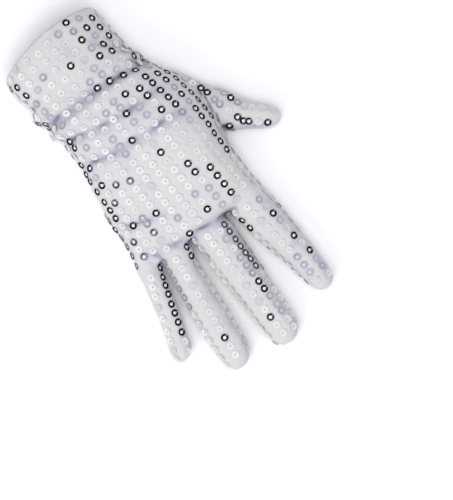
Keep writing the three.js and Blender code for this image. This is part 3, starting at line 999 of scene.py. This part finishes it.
def sequin_finish(colours):
    """Silver film with painted reflections: its rim is painted near black, lavender, as grey as the
    cloth or white, by its reflection tone.
    """
    finish = Finish("silver film")
    reflection_tone = finish.attribute("reflection_tone")
    zone = finish.attribute("zone")
    white, grey = colour(colours.film_white), colour(colours.film_grey)
    black, lavender = colour(colours.film_black), colour(colours.film_lavender)
    # painted reflection: the rim's colour stands in for the dark, lavender or bright surroundings that
    # it would mirror
    dark = finish.mix((reflection_tone / LAVENDER).clamped(), black, lavender)
    middling = finish.mix(((reflection_tone - LAVENDER) / (GREY - LAVENDER)).clamped(), dark, grey)
    rim = finish.mix(((reflection_tone - GREY) / (WHITE - GREY)).clamped(), middling, white)
    plain = (1 - (reflection_tone - 0.6).absolute() * 2.5).clamped()
    # painted shadow in the needle hole of the lighter sequins
    hole_shadow = ((0.2 - zone) * 8).clamped() * (reflection_tone * 1.2 - 0.2).clamped()
    # painted reflection: the flat centre of a dark sequin is painted bright
    bright = finish.mix((1 - reflection_tone * 4).clamped(), white, colour(colours.film_bright))
    centre = finish.mix(hole_shadow, finish.mix(plain, bright, grey), colour(colours.film_hole_shadow))
    on_rim = ((zone - 0.34) * 16).clamped()
    place = finish.node("ShaderNodeTexCoord", {}, out="Object")
    scuffs = finish.node("ShaderNodeTexNoise", {}, place, Scale=900.0, Detail=2.0)
    finish.surface(
        Base_Color=finish.mix(on_rim, centre, rim),
        Metallic=on_rim * (1 - reflection_tone * 2).clamped(),
        Roughness=scuffs * 0.16 + reflection_tone * 0.25 + 0.12,
        Coat_Weight=(0.25 - reflection_tone).clamped(),
        Coat_Roughness=0.08,
        Specular_Tint=colour((0.3, 0.3, 0.35)),
    )
    return finish.material


def thread_finish(colours):
    """White sewing thread with a slight twist."""
    finish = Finish("white thread")
    place = finish.node("ShaderNodeTexCoord", {}, out="Object")
    twist = finish.node("ShaderNodeTexNoise", {}, place, Scale=1500.0, Detail=1.0)
    finish.surface(
        Base_Color=finish.mix(twist, colour(colours.knit), colour(colours.film_white)),
        Roughness=0.6,
    )
    bump = finish.node("ShaderNodeBump", {}, Strength=0.3, Distance=0.0001, Height=twist)
    finish.surface(Normal=bump)
    return finish.material


def floor_finish():
    finish = Finish("pale floor")
    place = finish.node("ShaderNodeTexCoord", {}, out="Object")
    mottle = finish.node("ShaderNodeTexNoise", {}, place, Scale=3.0, Detail=2.0)
    finish.surface(
        Base_Color=finish.mix(mottle, colour((0.93, 0.93, 0.94)), colour((0.95, 0.95, 0.96))),
        Roughness=0.9,
    )
    return finish.material


def circle(sides):
    angles = [2 * math.pi * i / sides for i in range(sides)]
    return [(math.cos(angle), math.sin(angle)) for angle in angles]


def join_rings(bm, ring, after):
    """Faces between two rings of points, each point with its counterpart."""
    count = len(ring)
    around = [(i, (i + 1) % count) for i in range(count)]
    return [bm.faces.new((ring[i], after[i], after[j], ring[j])) for i, j in around]


def sequin_shape(sizes):
    """One cup sequin, open side up: a flat centre with a needle hole and a rim that rises round it."""
    profile = [  # radius, height, zone
        (sizes.hole / 2, 0.00 * MM, 0.0),
        (sizes.centre / 2, 0.02 * MM, 0.33),
        (sizes.diameter / 2, sizes.cup, 1.0),
        (sizes.centre / 2 + 0.05 * MM, -0.05 * MM, 0.6),
    ]
    sides = 14
    bm = bmesh.new()
    zone = bm.verts.layers.float.new("zone")
    rings = []
    for radius, height, value in profile:
        ring = [bm.verts.new((radius * c, radius * s, height)) for c, s in circle(sides)]
        for v in ring:
            v[zone] = value
        rings.append(ring)
    for ring, after in zip(rings, rings[1:] + rings[:1]):
        for face in join_rings(bm, ring, after):
            face.smooth = True
    for ring in rings:
        for i, v in enumerate(ring):
            bm.edges.get((v, ring[(i + 1) % sides])).smooth = False
    return new_object("sequin", finished(bm, "sequin"))


def stitch_shape(sizes):
    """The stitch that holds a sequin: out of its hole, over its rim and down into the cloth."""
    rim = sizes.diameter / 2
    path = [  # distance from the hole, height
        (0.00 * MM, -0.12 * MM),
        (0.12 * MM, 0.18 * MM),
        (sizes.centre / 2, 0.24 * MM),
        (rim - 0.25 * MM, sizes.cup + 0.16 * MM),
        (rim + 0.10 * MM, sizes.cup + 0.20 * MM),
        (rim + 0.33 * MM, sizes.cup - 0.06 * MM),
        (rim + 0.37 * MM, -0.20 * MM),
    ]
    sides = 5
    ahead = np.gradient(np.array(path), axis=0)
    ahead /= np.linalg.norm(ahead, axis=1)[:, None]
    bm = bmesh.new()
    rings = []
    for (x, z), (along, up) in zip(path, ahead):
        ring = []
        for c, s in circle(sides):
            side, rise = c * sizes.thread / 2, s * sizes.thread / 2
            ring.append(bm.verts.new((x - up * rise, side, z + along * rise)))
        rings.append(ring)
    for ring, after in zip(rings, rings[1:]):
        join_rings(bm, ring, after)
    bm.faces.new(rings[0])
    bm.faces.new(rings[-1][::-1])
    bmesh.ops.recalc_face_normals(bm, faces=bm.faces)
    for face in bm.faces:
        face.smooth = len(face.verts) == 4
    return new_object("stitch", finished(bm, "stitch"))


def near_stretch(x, y, stretches):
    for stretch in stretches:
        start, run = Vector(stretch.start), Vector(stretch.end) - Vector(stretch.start)
        along = 0.0
        if run.length > 0:
            along = min(max((Vector((x, y)) - start).dot(run) / run.length_squared, 0), 1)
        if (Vector((x, y)) - start - run * along).length < STRETCH_REACH:
            return True
    return False


def reflection_tone_at(point, above):
    """How bright the reflection painted on a sequin's rim is. The back follows the photo and the palm
    is mixed by chance.
    """
    x, y, z = point
    if above:
        x, y = seen(x, y, z)
    drift = noise.noise(Vector((x / 17, y / 17, 3.7 if above else 9.1)))
    chance = noise.noise(Vector((x * 0.61, y * 0.47, 5.3 if above else 2.9)))
    if above and near_stretch(x, y, BLACK_STRETCHES):
        return BLACK
    if above and near_stretch(x, y, DUSKY_STRETCHES):
        return DUSKY
    if above and near_stretch(x, y, LAVENDER_STRETCHES):
        return LAVENDER + 0.15 * chance
    # edge-on sequins on the sides get more painted dark reflections
    on_side = above and z < SIDE_Z and y < FINGERS_Y
    chance -= 0.25 * on_side
    if chance < -0.5 and (on_side or not above):
        return BLACK
    if chance < -0.4:
        return LAVENDER + 0.15
    if above and any(math.hypot(x - area.x, y - area.y) < area.reach for area in GREY_REFLECTION_AREAS):
        return GREY + 0.1 * chance
    return min(WHITE, max(GREY, 0.9 + 0.35 * drift + 0.25 * chance))


def sewn_at(run, pitch, marks, first, turned):
    """The places of a row's sequins: at its marks, evenly between them and a pitch apart beyond."""
    run = np.array(run)
    steps = np.linalg.norm(np.diff(run[:, :3], axis=0), axis=1)
    length = np.concatenate([[0], np.cumsum(steps)])
    seen_y = run[:, 1] if turned else seen(*run[:, :3].T)[1]
    inside = sorted(y for y in marks if seen_y[0] < y < seen_y[-1])
    anchors = [float(np.interp(y, seen_y, length)) for y in inside]
    if not anchors:
        anchors = [float(np.interp(first, seen_y, length)) % pitch]
    places = list(np.arange(anchors[0] - pitch, 0, -pitch))[::-1]
    for start, end in zip(anchors, anchors[1:]):
        count = max(1, round((end - start) / pitch))
        places += [start + (end - start) * i / count for i in range(count)]
    places += list(np.arange(anchors[-1], length[-1], pitch))
    return np.column_stack([np.interp(places, length, run[:, k]) for k in range(run.shape[1])])


def line_over(tube, y, above):
    """The cloth's line across a tube: its points, the way out of the cloth and the distance run."""
    line = tube.top_line(y) if above else tube.under_line(y)
    ahead = np.gradient(line, axis=0)
    out = np.column_stack([-ahead[:, 1], ahead[:, 0]]) * (1 if above else -1)
    out /= np.maximum(np.linalg.norm(out, axis=1), 1e-6)[:, None]
    steps = np.hypot(*np.diff(line, axis=0).T)
    return line, out, np.concatenate([[0], np.cumsum(steps)])


def row_runs(lines, centre, off, gathered, shift_at, sizes):
    """The stretches of one row that keep clear of the seams: places over the cloth and on it."""
    edge, aloft = sizes.edge_margin / MM, sizes.aloft / MM
    runs = [[]]
    for y, (line, out, length) in lines:
        middle = np.interp(np.interp(y, *centre), line[:, 0], length)
        at = middle + off * np.interp(y, *gathered)
        if edge < at < length[-1] - edge:
            foot_x, foot_z = (np.interp(at, length, line[:, i]) for i in (0, 1))
            out_x, out_z = (np.interp(at, length, out[:, i]) for i in (0, 1))
            x, z = foot_x + out_x * aloft, foot_z + out_z * aloft
            shift = shift_at(x, y)
            runs[-1].append((x, y + shift, z, foot_x, y + shift, foot_z))
        elif runs[-1]:
            runs.append([])
    return runs


def rows_over(tube, above, sizes):
    """The rows over one side of a tube: lines a fixed distance apart, measured over the cloth.

    A row holds a place just over the cloth for each sequin, and the way from there to the cloth."""
    spacing, pitch = sizes.row_spacing / MM, sizes.pitch / MM
    name = tube.finger.name if tube.finger else "hand"
    mouth = mouth_of(tube)

    def shift_at(x, y):
        return mouth_shift(x, y, *mouth) if name == "hand" else 0.0

    if name != "hand":
        pitch *= sizes.finger_pitch
    stations = np.arange(ROWS_START.get(name, FINGER_ROWS_START), tube.end - TIP_CLEAR, 1.0)
    lines = [(y, line_over(tube, y, above)) for y in stations]
    marks = {(m.tube, m.row): m.y for m in ROW_MARKS if above}
    offsets = ROW_OFFSETS.get(name, {}) if above else {}
    rows = []
    for k in range(-ROWS_EACH_WAY, ROWS_EACH_WAY + 1):
        off, gathered = offsets.get(k, k * spacing), NOT_GATHERED
        if name == "hand" and above:
            gathered = GATHERED_BELOW if k < 0 else GATHERED_BESIDE
        for run in row_runs(lines, GRAIN[name], off, gathered, shift_at, sizes):
            if len(run) < pitch * SHORTEST_ROW:
                continue
            row = sewn_at(run, pitch, marks.get((name, k), ()), UNMARKED[k % 2], tube.turned)
            aloft_at, foot = tube.placed(row[:, :3]), tube.placed(row[:, 3:])
            rows.append(np.hstack([aloft_at, foot - aloft_at]))
    return rows


def resting_place(tree, place, reach):
    """Lays a stiff disc on the cloth under a place of a row: its centre and the way that it faces."""
    start, way = Vector(to_part(place[:3])), Vector(place[3:]).normalized()
    side = way.orthogonal().normalized()
    other = way.cross(side)
    start -= way * RAY_START * MM
    offsets = [side * 0]
    for angle in np.linspace(0, 2 * math.pi, RAYS_ROUND, endpoint=False):
        offsets.append((side * math.cos(angle) + other * math.sin(angle)) * reach)
    hits = [tree.ray_cast(start + offset, way, RAY_REACH * MM)[0] for offset in offsets]
    hits = np.array([hit for hit in hits if hit is not None])
    if len(hits):
        deep = (hits - np.array(start)) @ np.array(way)
        hits = hits[np.abs(deep - np.median(deep)) < EDGE_DROP * MM]
    if len(hits) < FEWEST_CONTACTS:
        spot, normal, _, _ = tree.find_nearest(start)
        return (*spot, *normal)
    centre = hits.mean(axis=0)
    normal = Vector(np.linalg.svd(hits - centre)[2][2])
    if normal.dot(way) > 0:
        normal.negate()
    lift = np.max((hits - centre) @ np.array(normal)) * RESTING
    spot = start + way * ((Vector(centre) - start).dot(normal) + lift) / way.dot(normal)
    return (*spot, *normal)


def row_lines(name, rows, above, cloth, sizes):
    """The rows on the cloth, as edges that know which way each sequin faces and the tone of the
    reflection painted on it.
    """
    tree = BVHTree.FromObject(cloth, bpy.context.evaluated_depsgraph_get())
    points, edges, reflection_tones = [], [], []
    for row in rows:
        base = len(points)
        seats = [resting_place(tree, place, sizes.diameter / 2) for place in row]
        points += seats
        edges += [(base + i, base + i + 1) for i in range(len(row) - 1)]
        reflection_tones += [reflection_tone_at(Vector(seat[:3]) / MM + ORIGIN, above) for seat in seats]
    mesh = bpy.data.meshes.new(name)
    table = np.array(points)
    mesh.from_pydata(table[:, :3].tolist(), edges, [])
    store(mesh, "reflection_tone", "FLOAT", reflection_tones)
    store(mesh, "outward", "FLOAT_VECTOR", table[:, 3:])
    return new_object(name, mesh)


def sewn_rows(sizes):
    """The rows of each side of the glove: the side, whether the photo shows it, and its rows."""
    tubes = all_tubes(sizes.seam_height / MM)
    thumb = tubes.pop("thumb")
    for side, above in (("back", True), ("palm", False)):
        rows = [row for tube in tubes.values() for row in rows_over(tube, above, sizes)]
        clear = THUMB_SEAM_X + 0.5
        yield side, above, [row[(row[:, 0] > clear) | (row[:, 1] > THUMB_SIDE_Y)] for row in rows]
    rows = rows_over(thumb, True, sizes) + rows_over(thumb, False, sizes)
    clear = THUMB_SEAM_X - sizes.diameter / MM * 0.3
    yield "thumb", True, [row[row[:, 0] < clear] for row in rows]


class Rig:
    """A Geometry Nodes tree that is put on an object, given its inputs and baked."""

    def __init__(self, name):
        self.tree = bpy.data.node_groups.new(name, "GeometryNodeTree")
        self.tree.interface.new_socket("Geometry", in_out="OUTPUT", socket_type="NodeSocketGeometry")
        self.tree.interface.new_socket("Geometry", in_out="INPUT", socket_type="NodeSocketGeometry")
        self.source = self.tree.nodes.new("NodeGroupInput")
        self.result = self.tree.nodes.new("NodeGroupOutput")
        self.values = {}

    def input(self, name, kind, value):
        socket = self.tree.interface.new_socket(name, in_out="INPUT", socket_type="NodeSocket" + kind)
        self.values[socket.identifier] = value
        return self.source.outputs[name]

    def node(self, kind, settings=None, **inputs):
        made = self.tree.nodes.new(kind)
        for key, value in (settings or {}).items():
            setattr(made, key, value)
        for key, value in inputs.items():
            socket = made.inputs[key.replace("_", " ")]
            if isinstance(value, bpy.types.NodeSocket):
                self.tree.links.new(value, socket)
            else:
                socket.default_value = value
        return made

    def link(self, output, socket):
        self.tree.links.new(output, socket)

    def scaled(self, vector, factor):
        made = self.node("ShaderNodeVectorMath", {"operation": "SCALE"}, Scale=factor)
        self.link(vector, made.inputs[0])
        return made.outputs[0]

    def added(self, first, second):
        made = self.node("ShaderNodeVectorMath", {"operation": "ADD"})
        self.link(first, made.inputs[0])
        self.link(second, made.inputs[1])
        return made.outputs[0]

    def bake(self, obj, name):
        """Runs the tree on an object and gives the plain mesh that comes of it, as a new object."""
        modifier = obj.modifiers.new(self.tree.name, "NODES")
        modifier.node_group = self.tree
        for identifier, value in self.values.items():
            modifier[identifier] = value
        mesh = evaluated(obj)
        obj.modifiers.remove(modifier)
        mesh.name = name
        return new_object(name, mesh)


def sewn(name, lines, blank, sizes, finish):
    """Sets a copy of the blank at every point of the rows, flat on the cloth but for a slight tilt."""
    rig = Rig("sewn along rows")
    lift = rig.input("Lift", "Float", sizes.lift)
    tilt = rig.input("Tilt", "Float", sizes.tilt)
    seed = rig.input("Seed", "Int", 7)
    blank_in = rig.input("Blank", "Object", blank)
    finish_in = rig.input("Finish", "Material", finish)
    way = rig.input("Stitch direction", "Vector", STITCH_WAY)

    dots = rig.node("GeometryNodeMeshToPoints", Mesh=rig.source.outputs["Geometry"])
    named = rig.node("GeometryNodeInputNamedAttribute", {"data_type": "FLOAT_VECTOR"}, Name="outward")
    outward = named.outputs["Attribute"]
    raised = rig.scaled(outward, lift)
    seated = rig.node("GeometryNodeSetPosition", Geometry=dots.outputs[0], Offset=raised)

    random = rig.node("FunctionNodeRandomValue", {"data_type": "FLOAT_VECTOR"}, Seed=seed)
    random.inputs["Min"].default_value = (-1, -1, -1)
    random.inputs["Max"].default_value = (1, 1, 1)
    lean = random.outputs["Value"]
    turned = rig.node(
        "FunctionNodeAlignRotationToVector", {"axis": "Z"},
        Vector=rig.added(outward, rig.scaled(lean, tilt)),
    )
    faced = rig.node(
        "FunctionNodeAlignRotationToVector", {"axis": "X", "pivot_axis": "Z"},
        Rotation=turned.outputs[0], Vector=rig.added(way, rig.scaled(lean, STITCH_STRAY)),
    )
    cupped = rig.node("FunctionNodeRandomValue", {"data_type": "FLOAT"}, Seed=seed)
    cupped.inputs[2].default_value, cupped.inputs[3].default_value = CUP_RANGE
    scale = rig.node("ShaderNodeCombineXYZ", X=1.0, Y=1.0, Z=cupped.outputs[1])
    blank_mesh = rig.node("GeometryNodeObjectInfo", {"transform_space": "ORIGINAL"}, Object=blank_in)
    placed = rig.node(
        "GeometryNodeInstanceOnPoints", Points=seated.outputs[0],
        Instance=blank_mesh.outputs["Geometry"], Rotation=faced.outputs[0], Scale=scale.outputs[0],
    )
    real = rig.node("GeometryNodeRealizeInstances", Geometry=placed.outputs[0])
    bare = rig.node("GeometryNodeRemoveAttribute", Geometry=real.outputs[0], Name="outward")
    coated = rig.node("GeometryNodeSetMaterial", Geometry=bare.outputs[0], Material=finish_in)
    rig.link(coated.outputs[0], rig.result.inputs[0])
    return rig.bake(lines, name)


def sew_everywhere(kind, blank, finish, sizes):
    """Sews a blank along all the rows, as one piece for each side of the glove."""
    for side, above, rows in sewn_rows(sizes):
        cloth = bpy.data.objects[side + "_cloth"]
        lines = row_lines(side + " rows", rows, above, cloth, sizes)
        piece = sewn(side + "_" + kind, lines, blank, sizes, finish)
        remove(lines)
        pressed = read_points(piece.data)
        pressed[:, 2] = np.maximum(pressed[:, 2], TABLE_GAP * MM)
        write_points(piece.data, pressed)
        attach(piece, "root")
    remove(blank)


def millimetres(name, description, default):
    return bpy.props.FloatProperty(
        name=name, description=description, default=default * MM, unit="LENGTH")


def ratio(name, description, default):
    return bpy.props.FloatProperty(
        name=name, description=description, default=default, min=0.0, max=1.0)


class GloveSizes(bpy.types.PropertyGroup):
    """Sizes of the cloth and the sequins."""

    wall: millimetres("Cloth", "Thickness of the knit", 1.2)
    seam_height: millimetres("Seam height", "Height of the side seam over the table", 9)
    seam_groove: millimetres("Seam groove", "How far the seam draws the cloth in", 0.55)
    grid: millimetres("Grid", "Width of the cloth's faces", 0.9)
    ripple: millimetres("Ripple", "Height of the cloth's slight waves", 0.45)
    diameter: millimetres("Sequin", "Diameter of a sequin", 4.9)
    centre: millimetres("Centre", "Diameter of a sequin's flat centre", 1.75)
    hole: millimetres("Needle hole", "Diameter of a sequin's hole", 0.7)
    cup: millimetres("Cup", "Height of a sequin's rim", 0.36)
    thread: millimetres("Thread", "Thickness of the sewing thread", 0.28)
    pitch: millimetres("Pitch", "Distance between two sequins of a row", 6.55)
    row_spacing: millimetres("Row spacing", "Distance between two rows", 8.95)
    finger_pitch: ratio("Finger pitch", "Pitch on the fingers, against that of the hand", 0.95)
    aloft: millimetres("Aloft", "How far over the cloth a row is drawn before it is set down", 1.5)
    edge_margin: millimetres("Edge margin", "How near to a seam a row may run", 1.1)
    lift: millimetres("Lift", "Height of a sequin's centre over the cloth", 0.05)
    tilt: ratio("Tilt", "How unevenly the sequins lie", 0.07)


def swatch(name, default):
    return bpy.props.FloatVectorProperty(
        name=name, description=name, default=default, subtype="COLOR", size=3, min=0, max=1)


class GloveColours(bpy.types.PropertyGroup):
    """Colours of the cloth and the sequins, with their painted shade and painted reflections."""

    knit: swatch("Knit", (0.6, 0.6, 0.6))
    # knit_fold_shade is the painted lavender shade, knit_deep the painted near-black shade
    knit_fold_shade: swatch("Knit in the folds", (0.42, 0.42, 0.51))
    knit_deep: swatch("Knit in the shade", (0.06, 0.06, 0.09))
    # painted reflections on the sequins: the bright centre and the white, grey, lavender and black
    # rims; the bright film also gives the thread its white
    film_bright: swatch("Centre of a dark sequin", (0.93, 0.93, 0.93))
    film_white: swatch("Bright film", (0.71, 0.71, 0.7))
    film_grey: swatch("Dull film", (0.63, 0.63, 0.64))
    film_lavender: swatch("Lavender film", (0.37, 0.37, 0.45))
    # painted shadow in the needle hole
    film_hole_shadow: swatch("Needle hole", (0.22, 0.22, 0.26))
    film_black: swatch("Dark film", (0.012, 0.012, 0.02))


def sizes_of(context):
    return context.scene.glove_sizes


def colours_of(context):
    return context.scene.glove_colours


# What stands for each node of the solids.
CLOTH = {"back_panel": "back_cloth", "palm_panel": "palm_cloth", "thumb": "thumb_cloth"}


class GLOVE_OT_cloth(bpy.types.Operator):
    """Make the back, the palm and the thumb of the glove"""

    bl_idname = "glove.cloth"
    bl_label = "Cloth"

    def execute(self, context):
        sizes = sizes_of(context)
        skin = cloth_skin(sizes)
        shape_skin(skin, sizes)
        knit = knit_finish(colours_of(context))
        seam = (0, 0, sizes.seam_height / MM)
        thumb_seam = (THUMB_SEAM_X, 0, 0)

        def beside_thumb(centre):
            return centre.y < THUMB_SIDE_Y

        cuts = {
            "back_panel": [(seam, (0, 0, -1), None), (thumb_seam, (-1, 0, 0), beside_thumb)],
            "palm_panel": [(seam, (0, 0, 1), None), (thumb_seam, (-1, 0, 0), beside_thumb)],
            "thumb": [(thumb_seam, (1, 0, 0), None), ((0, THUMB_SIDE_Y, 0), (0, 1, 0), None)],
        }
        for node, planes in cuts.items():
            piece = cut_piece(skin, CLOTH[node], planes, sizes)
            piece.data.materials.append(knit)
            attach(piece, "root")
            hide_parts(node)
        bpy.data.meshes.remove(skin)
        return {"FINISHED"}


class GLOVE_OT_hem(bpy.types.Operator):
    """Make the hem that is turned in at the cuff's mouth"""

    bl_idname = "glove.hem"
    bl_label = "Hem"

    DEPTH = 11.0
    CLEAR = 0.35  # between the cuff and the hem
    THICK = 1.0
    LIP = 0.7  # how far the folded edge stands out of the mouth

    def profile(self, wall):
        """The hem's section: how far in from the cloth's outside, and how far from the mouth."""
        near, far = wall + self.CLEAR, wall + self.CLEAR + self.THICK
        steps = (0.25, 0.5, 0.75)
        return [
            (0.25, -0.1), (0.35, -0.5), (0.9, -self.LIP), (1.6, -self.LIP),
            (far - 0.3, -0.45), (far, 0.2),
            *((far, self.DEPTH * t) for t in steps),
            (far - 0.25, self.DEPTH), (near + 0.25, self.DEPTH),
            *((near, self.DEPTH * t) for t in reversed(steps)),
            (near, 0.35), (near - 0.1, 0.0),
        ]

    def ring(self, tube, y, inset):
        """The outline of the sleeve at y, drawn in by the inset."""
        line = np.vstack([tube.top_line(y), tube.under_line(y)[-2:0:-1]])
        ahead = np.roll(line, -1, axis=0) - np.roll(line, 1, axis=0)
        out = np.column_stack([-ahead[:, 1], ahead[:, 0]])
        out /= np.linalg.norm(out, axis=1)[:, None]
        return line - out * inset

    def execute(self, context):
        sizes = sizes_of(context)
        tube = Tube(HAND, sizes.seam_height / MM)
        middle, half = mouth_of(tube)
        bm = bmesh.new()
        shade = bm.verts.layers.float.new("shade")
        grain = bm.verts.layers.float_vector.new("grain")
        rings = []
        for inset, reach in self.profile(sizes.wall / MM):
            y = MOUTH_Y + reach
            ring = []
            for x, z in self.ring(tube, y, inset):
                shift = mouth_shift(np.array(x), np.array(y), middle, half)
                v = bm.verts.new(Vector(to_part((x, y + shift, z))))
                # painted shade, the same all over the turned-in hem
                v[shade] = 0.35
                v[grain] = Vector((x * MM, y * MM, 0))
                ring.append(v)
            rings.append(ring)
        for ring, after in zip(rings, rings[1:] + rings[:1]):
            join_rings(bm, ring, after)
        bmesh.ops.recalc_face_normals(bm, faces=bm.faces)
        mesh = finished(bm, "hem_cloth")
        mesh.shade_smooth()
        hem = new_object("hem_cloth", mesh)
        hem.data.materials.append(bpy.data.materials["stretch knit"])
        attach(hem, "root")
        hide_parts("cuff_hem")
        return {"FINISHED"}


class GLOVE_OT_sequins(bpy.types.Operator):
    """Set the rows of sequins on the back, the palm and the thumb"""

    bl_idname = "glove.sequins"
    bl_label = "Sequins"

    def execute(self, context):
        sizes = sizes_of(context)
        film = sequin_finish(colours_of(context))
        sew_everywhere("sequins", sequin_shape(sizes), film, sizes)
        return {"FINISHED"}


class GLOVE_OT_threads(bpy.types.Operator):
    """Make the stitches that hold the sequins"""

    bl_idname = "glove.threads"
    bl_label = "Threads"

    def execute(self, context):
        sizes = sizes_of(context)
        thread = thread_finish(colours_of(context))
        sew_everywhere("threads", stitch_shape(sizes), thread, sizes)
        return {"FINISHED"}


class GLOVE_OT_stage(bpy.types.Operator):
    """Set the floor, the lights and the camera"""

    bl_idname = "glove.stage"
    bl_label = "Stage"

    LENS = 250.0
    SENSOR = 36.0
    TURN = math.radians(54)  # the glove's axis below the picture's right-hand side

    def execute(self, context):
        self.floor()
        self.lights(context.scene)
        self.camera(context.scene)
        return {"FINISHED"}

    def floor(self):
        half = 2.5
        mesh = bpy.data.meshes.new("floor")
        corners = [(-half, -half, 0), (half, -half, 0), (half, half, 0), (-half, half, 0)]
        mesh.from_pydata(corners, [], [(0, 1, 2, 3)])
        mesh.materials.append(floor_finish())
        floor = new_object("floor", mesh)

    def lights(self, scene):
        world = bpy.data.worlds.new("studio")
        world.use_nodes = True
        background = world.node_tree.nodes["Background"]
        background.inputs["Color"].default_value = (0.95, 0.95, 1.0, 1.0)
        background.inputs["Strength"].default_value = 0.64
        scene.world = world
        # name, place in metres, width in metres, watts
        for name, place, size, power in (
            ("overhead softbox", (0.1, 0.1, 1.3), 1.1, 9.0),
            ("side softbox", (0.95, 0.35, 0.75), 0.7, 3.8),
        ):
            light = bpy.data.lights.new(name, "AREA")
            light.shape = "DISK"
            light.size = size
            light.energy = power
            lamp = bpy.data.objects.new(name, light)
            lamp.location = place
            lamp.rotation_euler = Vector(place).to_track_quat("Z", "Y").to_euler()
            lamp.visible_camera = False
            scene.collection.objects.link(lamp)
        scene.view_settings.view_transform = "Standard"
        scene.view_settings.look = "None"

    def camera(self, scene):
        data = bpy.data.cameras.new("camera")
        data.lens = self.LENS
        data.sensor_width = self.SENSOR
        camera = bpy.data.objects.new("camera", data)
        c, s = math.cos(self.TURN), math.sin(self.TURN)
        right = Vector((-s, c, 0))
        up = Vector((-c, -s, 0))
        back = right.cross(up)
        turn = Matrix((right, up, back)).transposed().to_4x4()
        aim = Vector(to_part(AIM))
        camera.matrix_world = Matrix.Translation(aim + back * CAMERA_RISE * MM) @ turn
        scene.collection.objects.link(camera)
        scene.camera = camera


class GLOVE_PT_panel(bpy.types.Panel):
    """Lists the sizes and the steps that make the glove"""

    bl_idname = "GLOVE_PT_panel"
    bl_label = "Sequin glove"
    bl_space_type = "VIEW_3D"
    bl_region_type = "UI"
    bl_category = "Glove"

    def draw(self, context):
        for group in (sizes_of(context), colours_of(context)):
            column = self.layout.column()
            for key in group.__annotations__:
                column.prop(group, key)
        for step in STEPS:
            self.layout.operator(step.bl_idname)


STEPS = (GLOVE_OT_stage, GLOVE_OT_cloth, GLOVE_OT_hem, GLOVE_OT_sequins, GLOVE_OT_threads)
CLASSES = (GloveSizes, GloveColours, *STEPS, GLOVE_PT_panel)


def register():
    for item in CLASSES:
        bpy.utils.register_class(item)
    bpy.types.Scene.glove_sizes = bpy.props.PointerProperty(type=GloveSizes)
    bpy.types.Scene.glove_colours = bpy.props.PointerProperty(type=GloveColours)


def unregister():
    del bpy.types.Scene.glove_colours
    del bpy.types.Scene.glove_sizes
    for item in reversed(CLASSES):
        bpy.utils.unregister_class(item)


def main():
    register()
    bpy.ops.glove.stage()
    bpy.ops.glove.cloth()
    bpy.ops.glove.hem()
    bpy.ops.glove.sequins()
    bpy.ops.glove.threads()


if __name__ == "__main__":
    main()
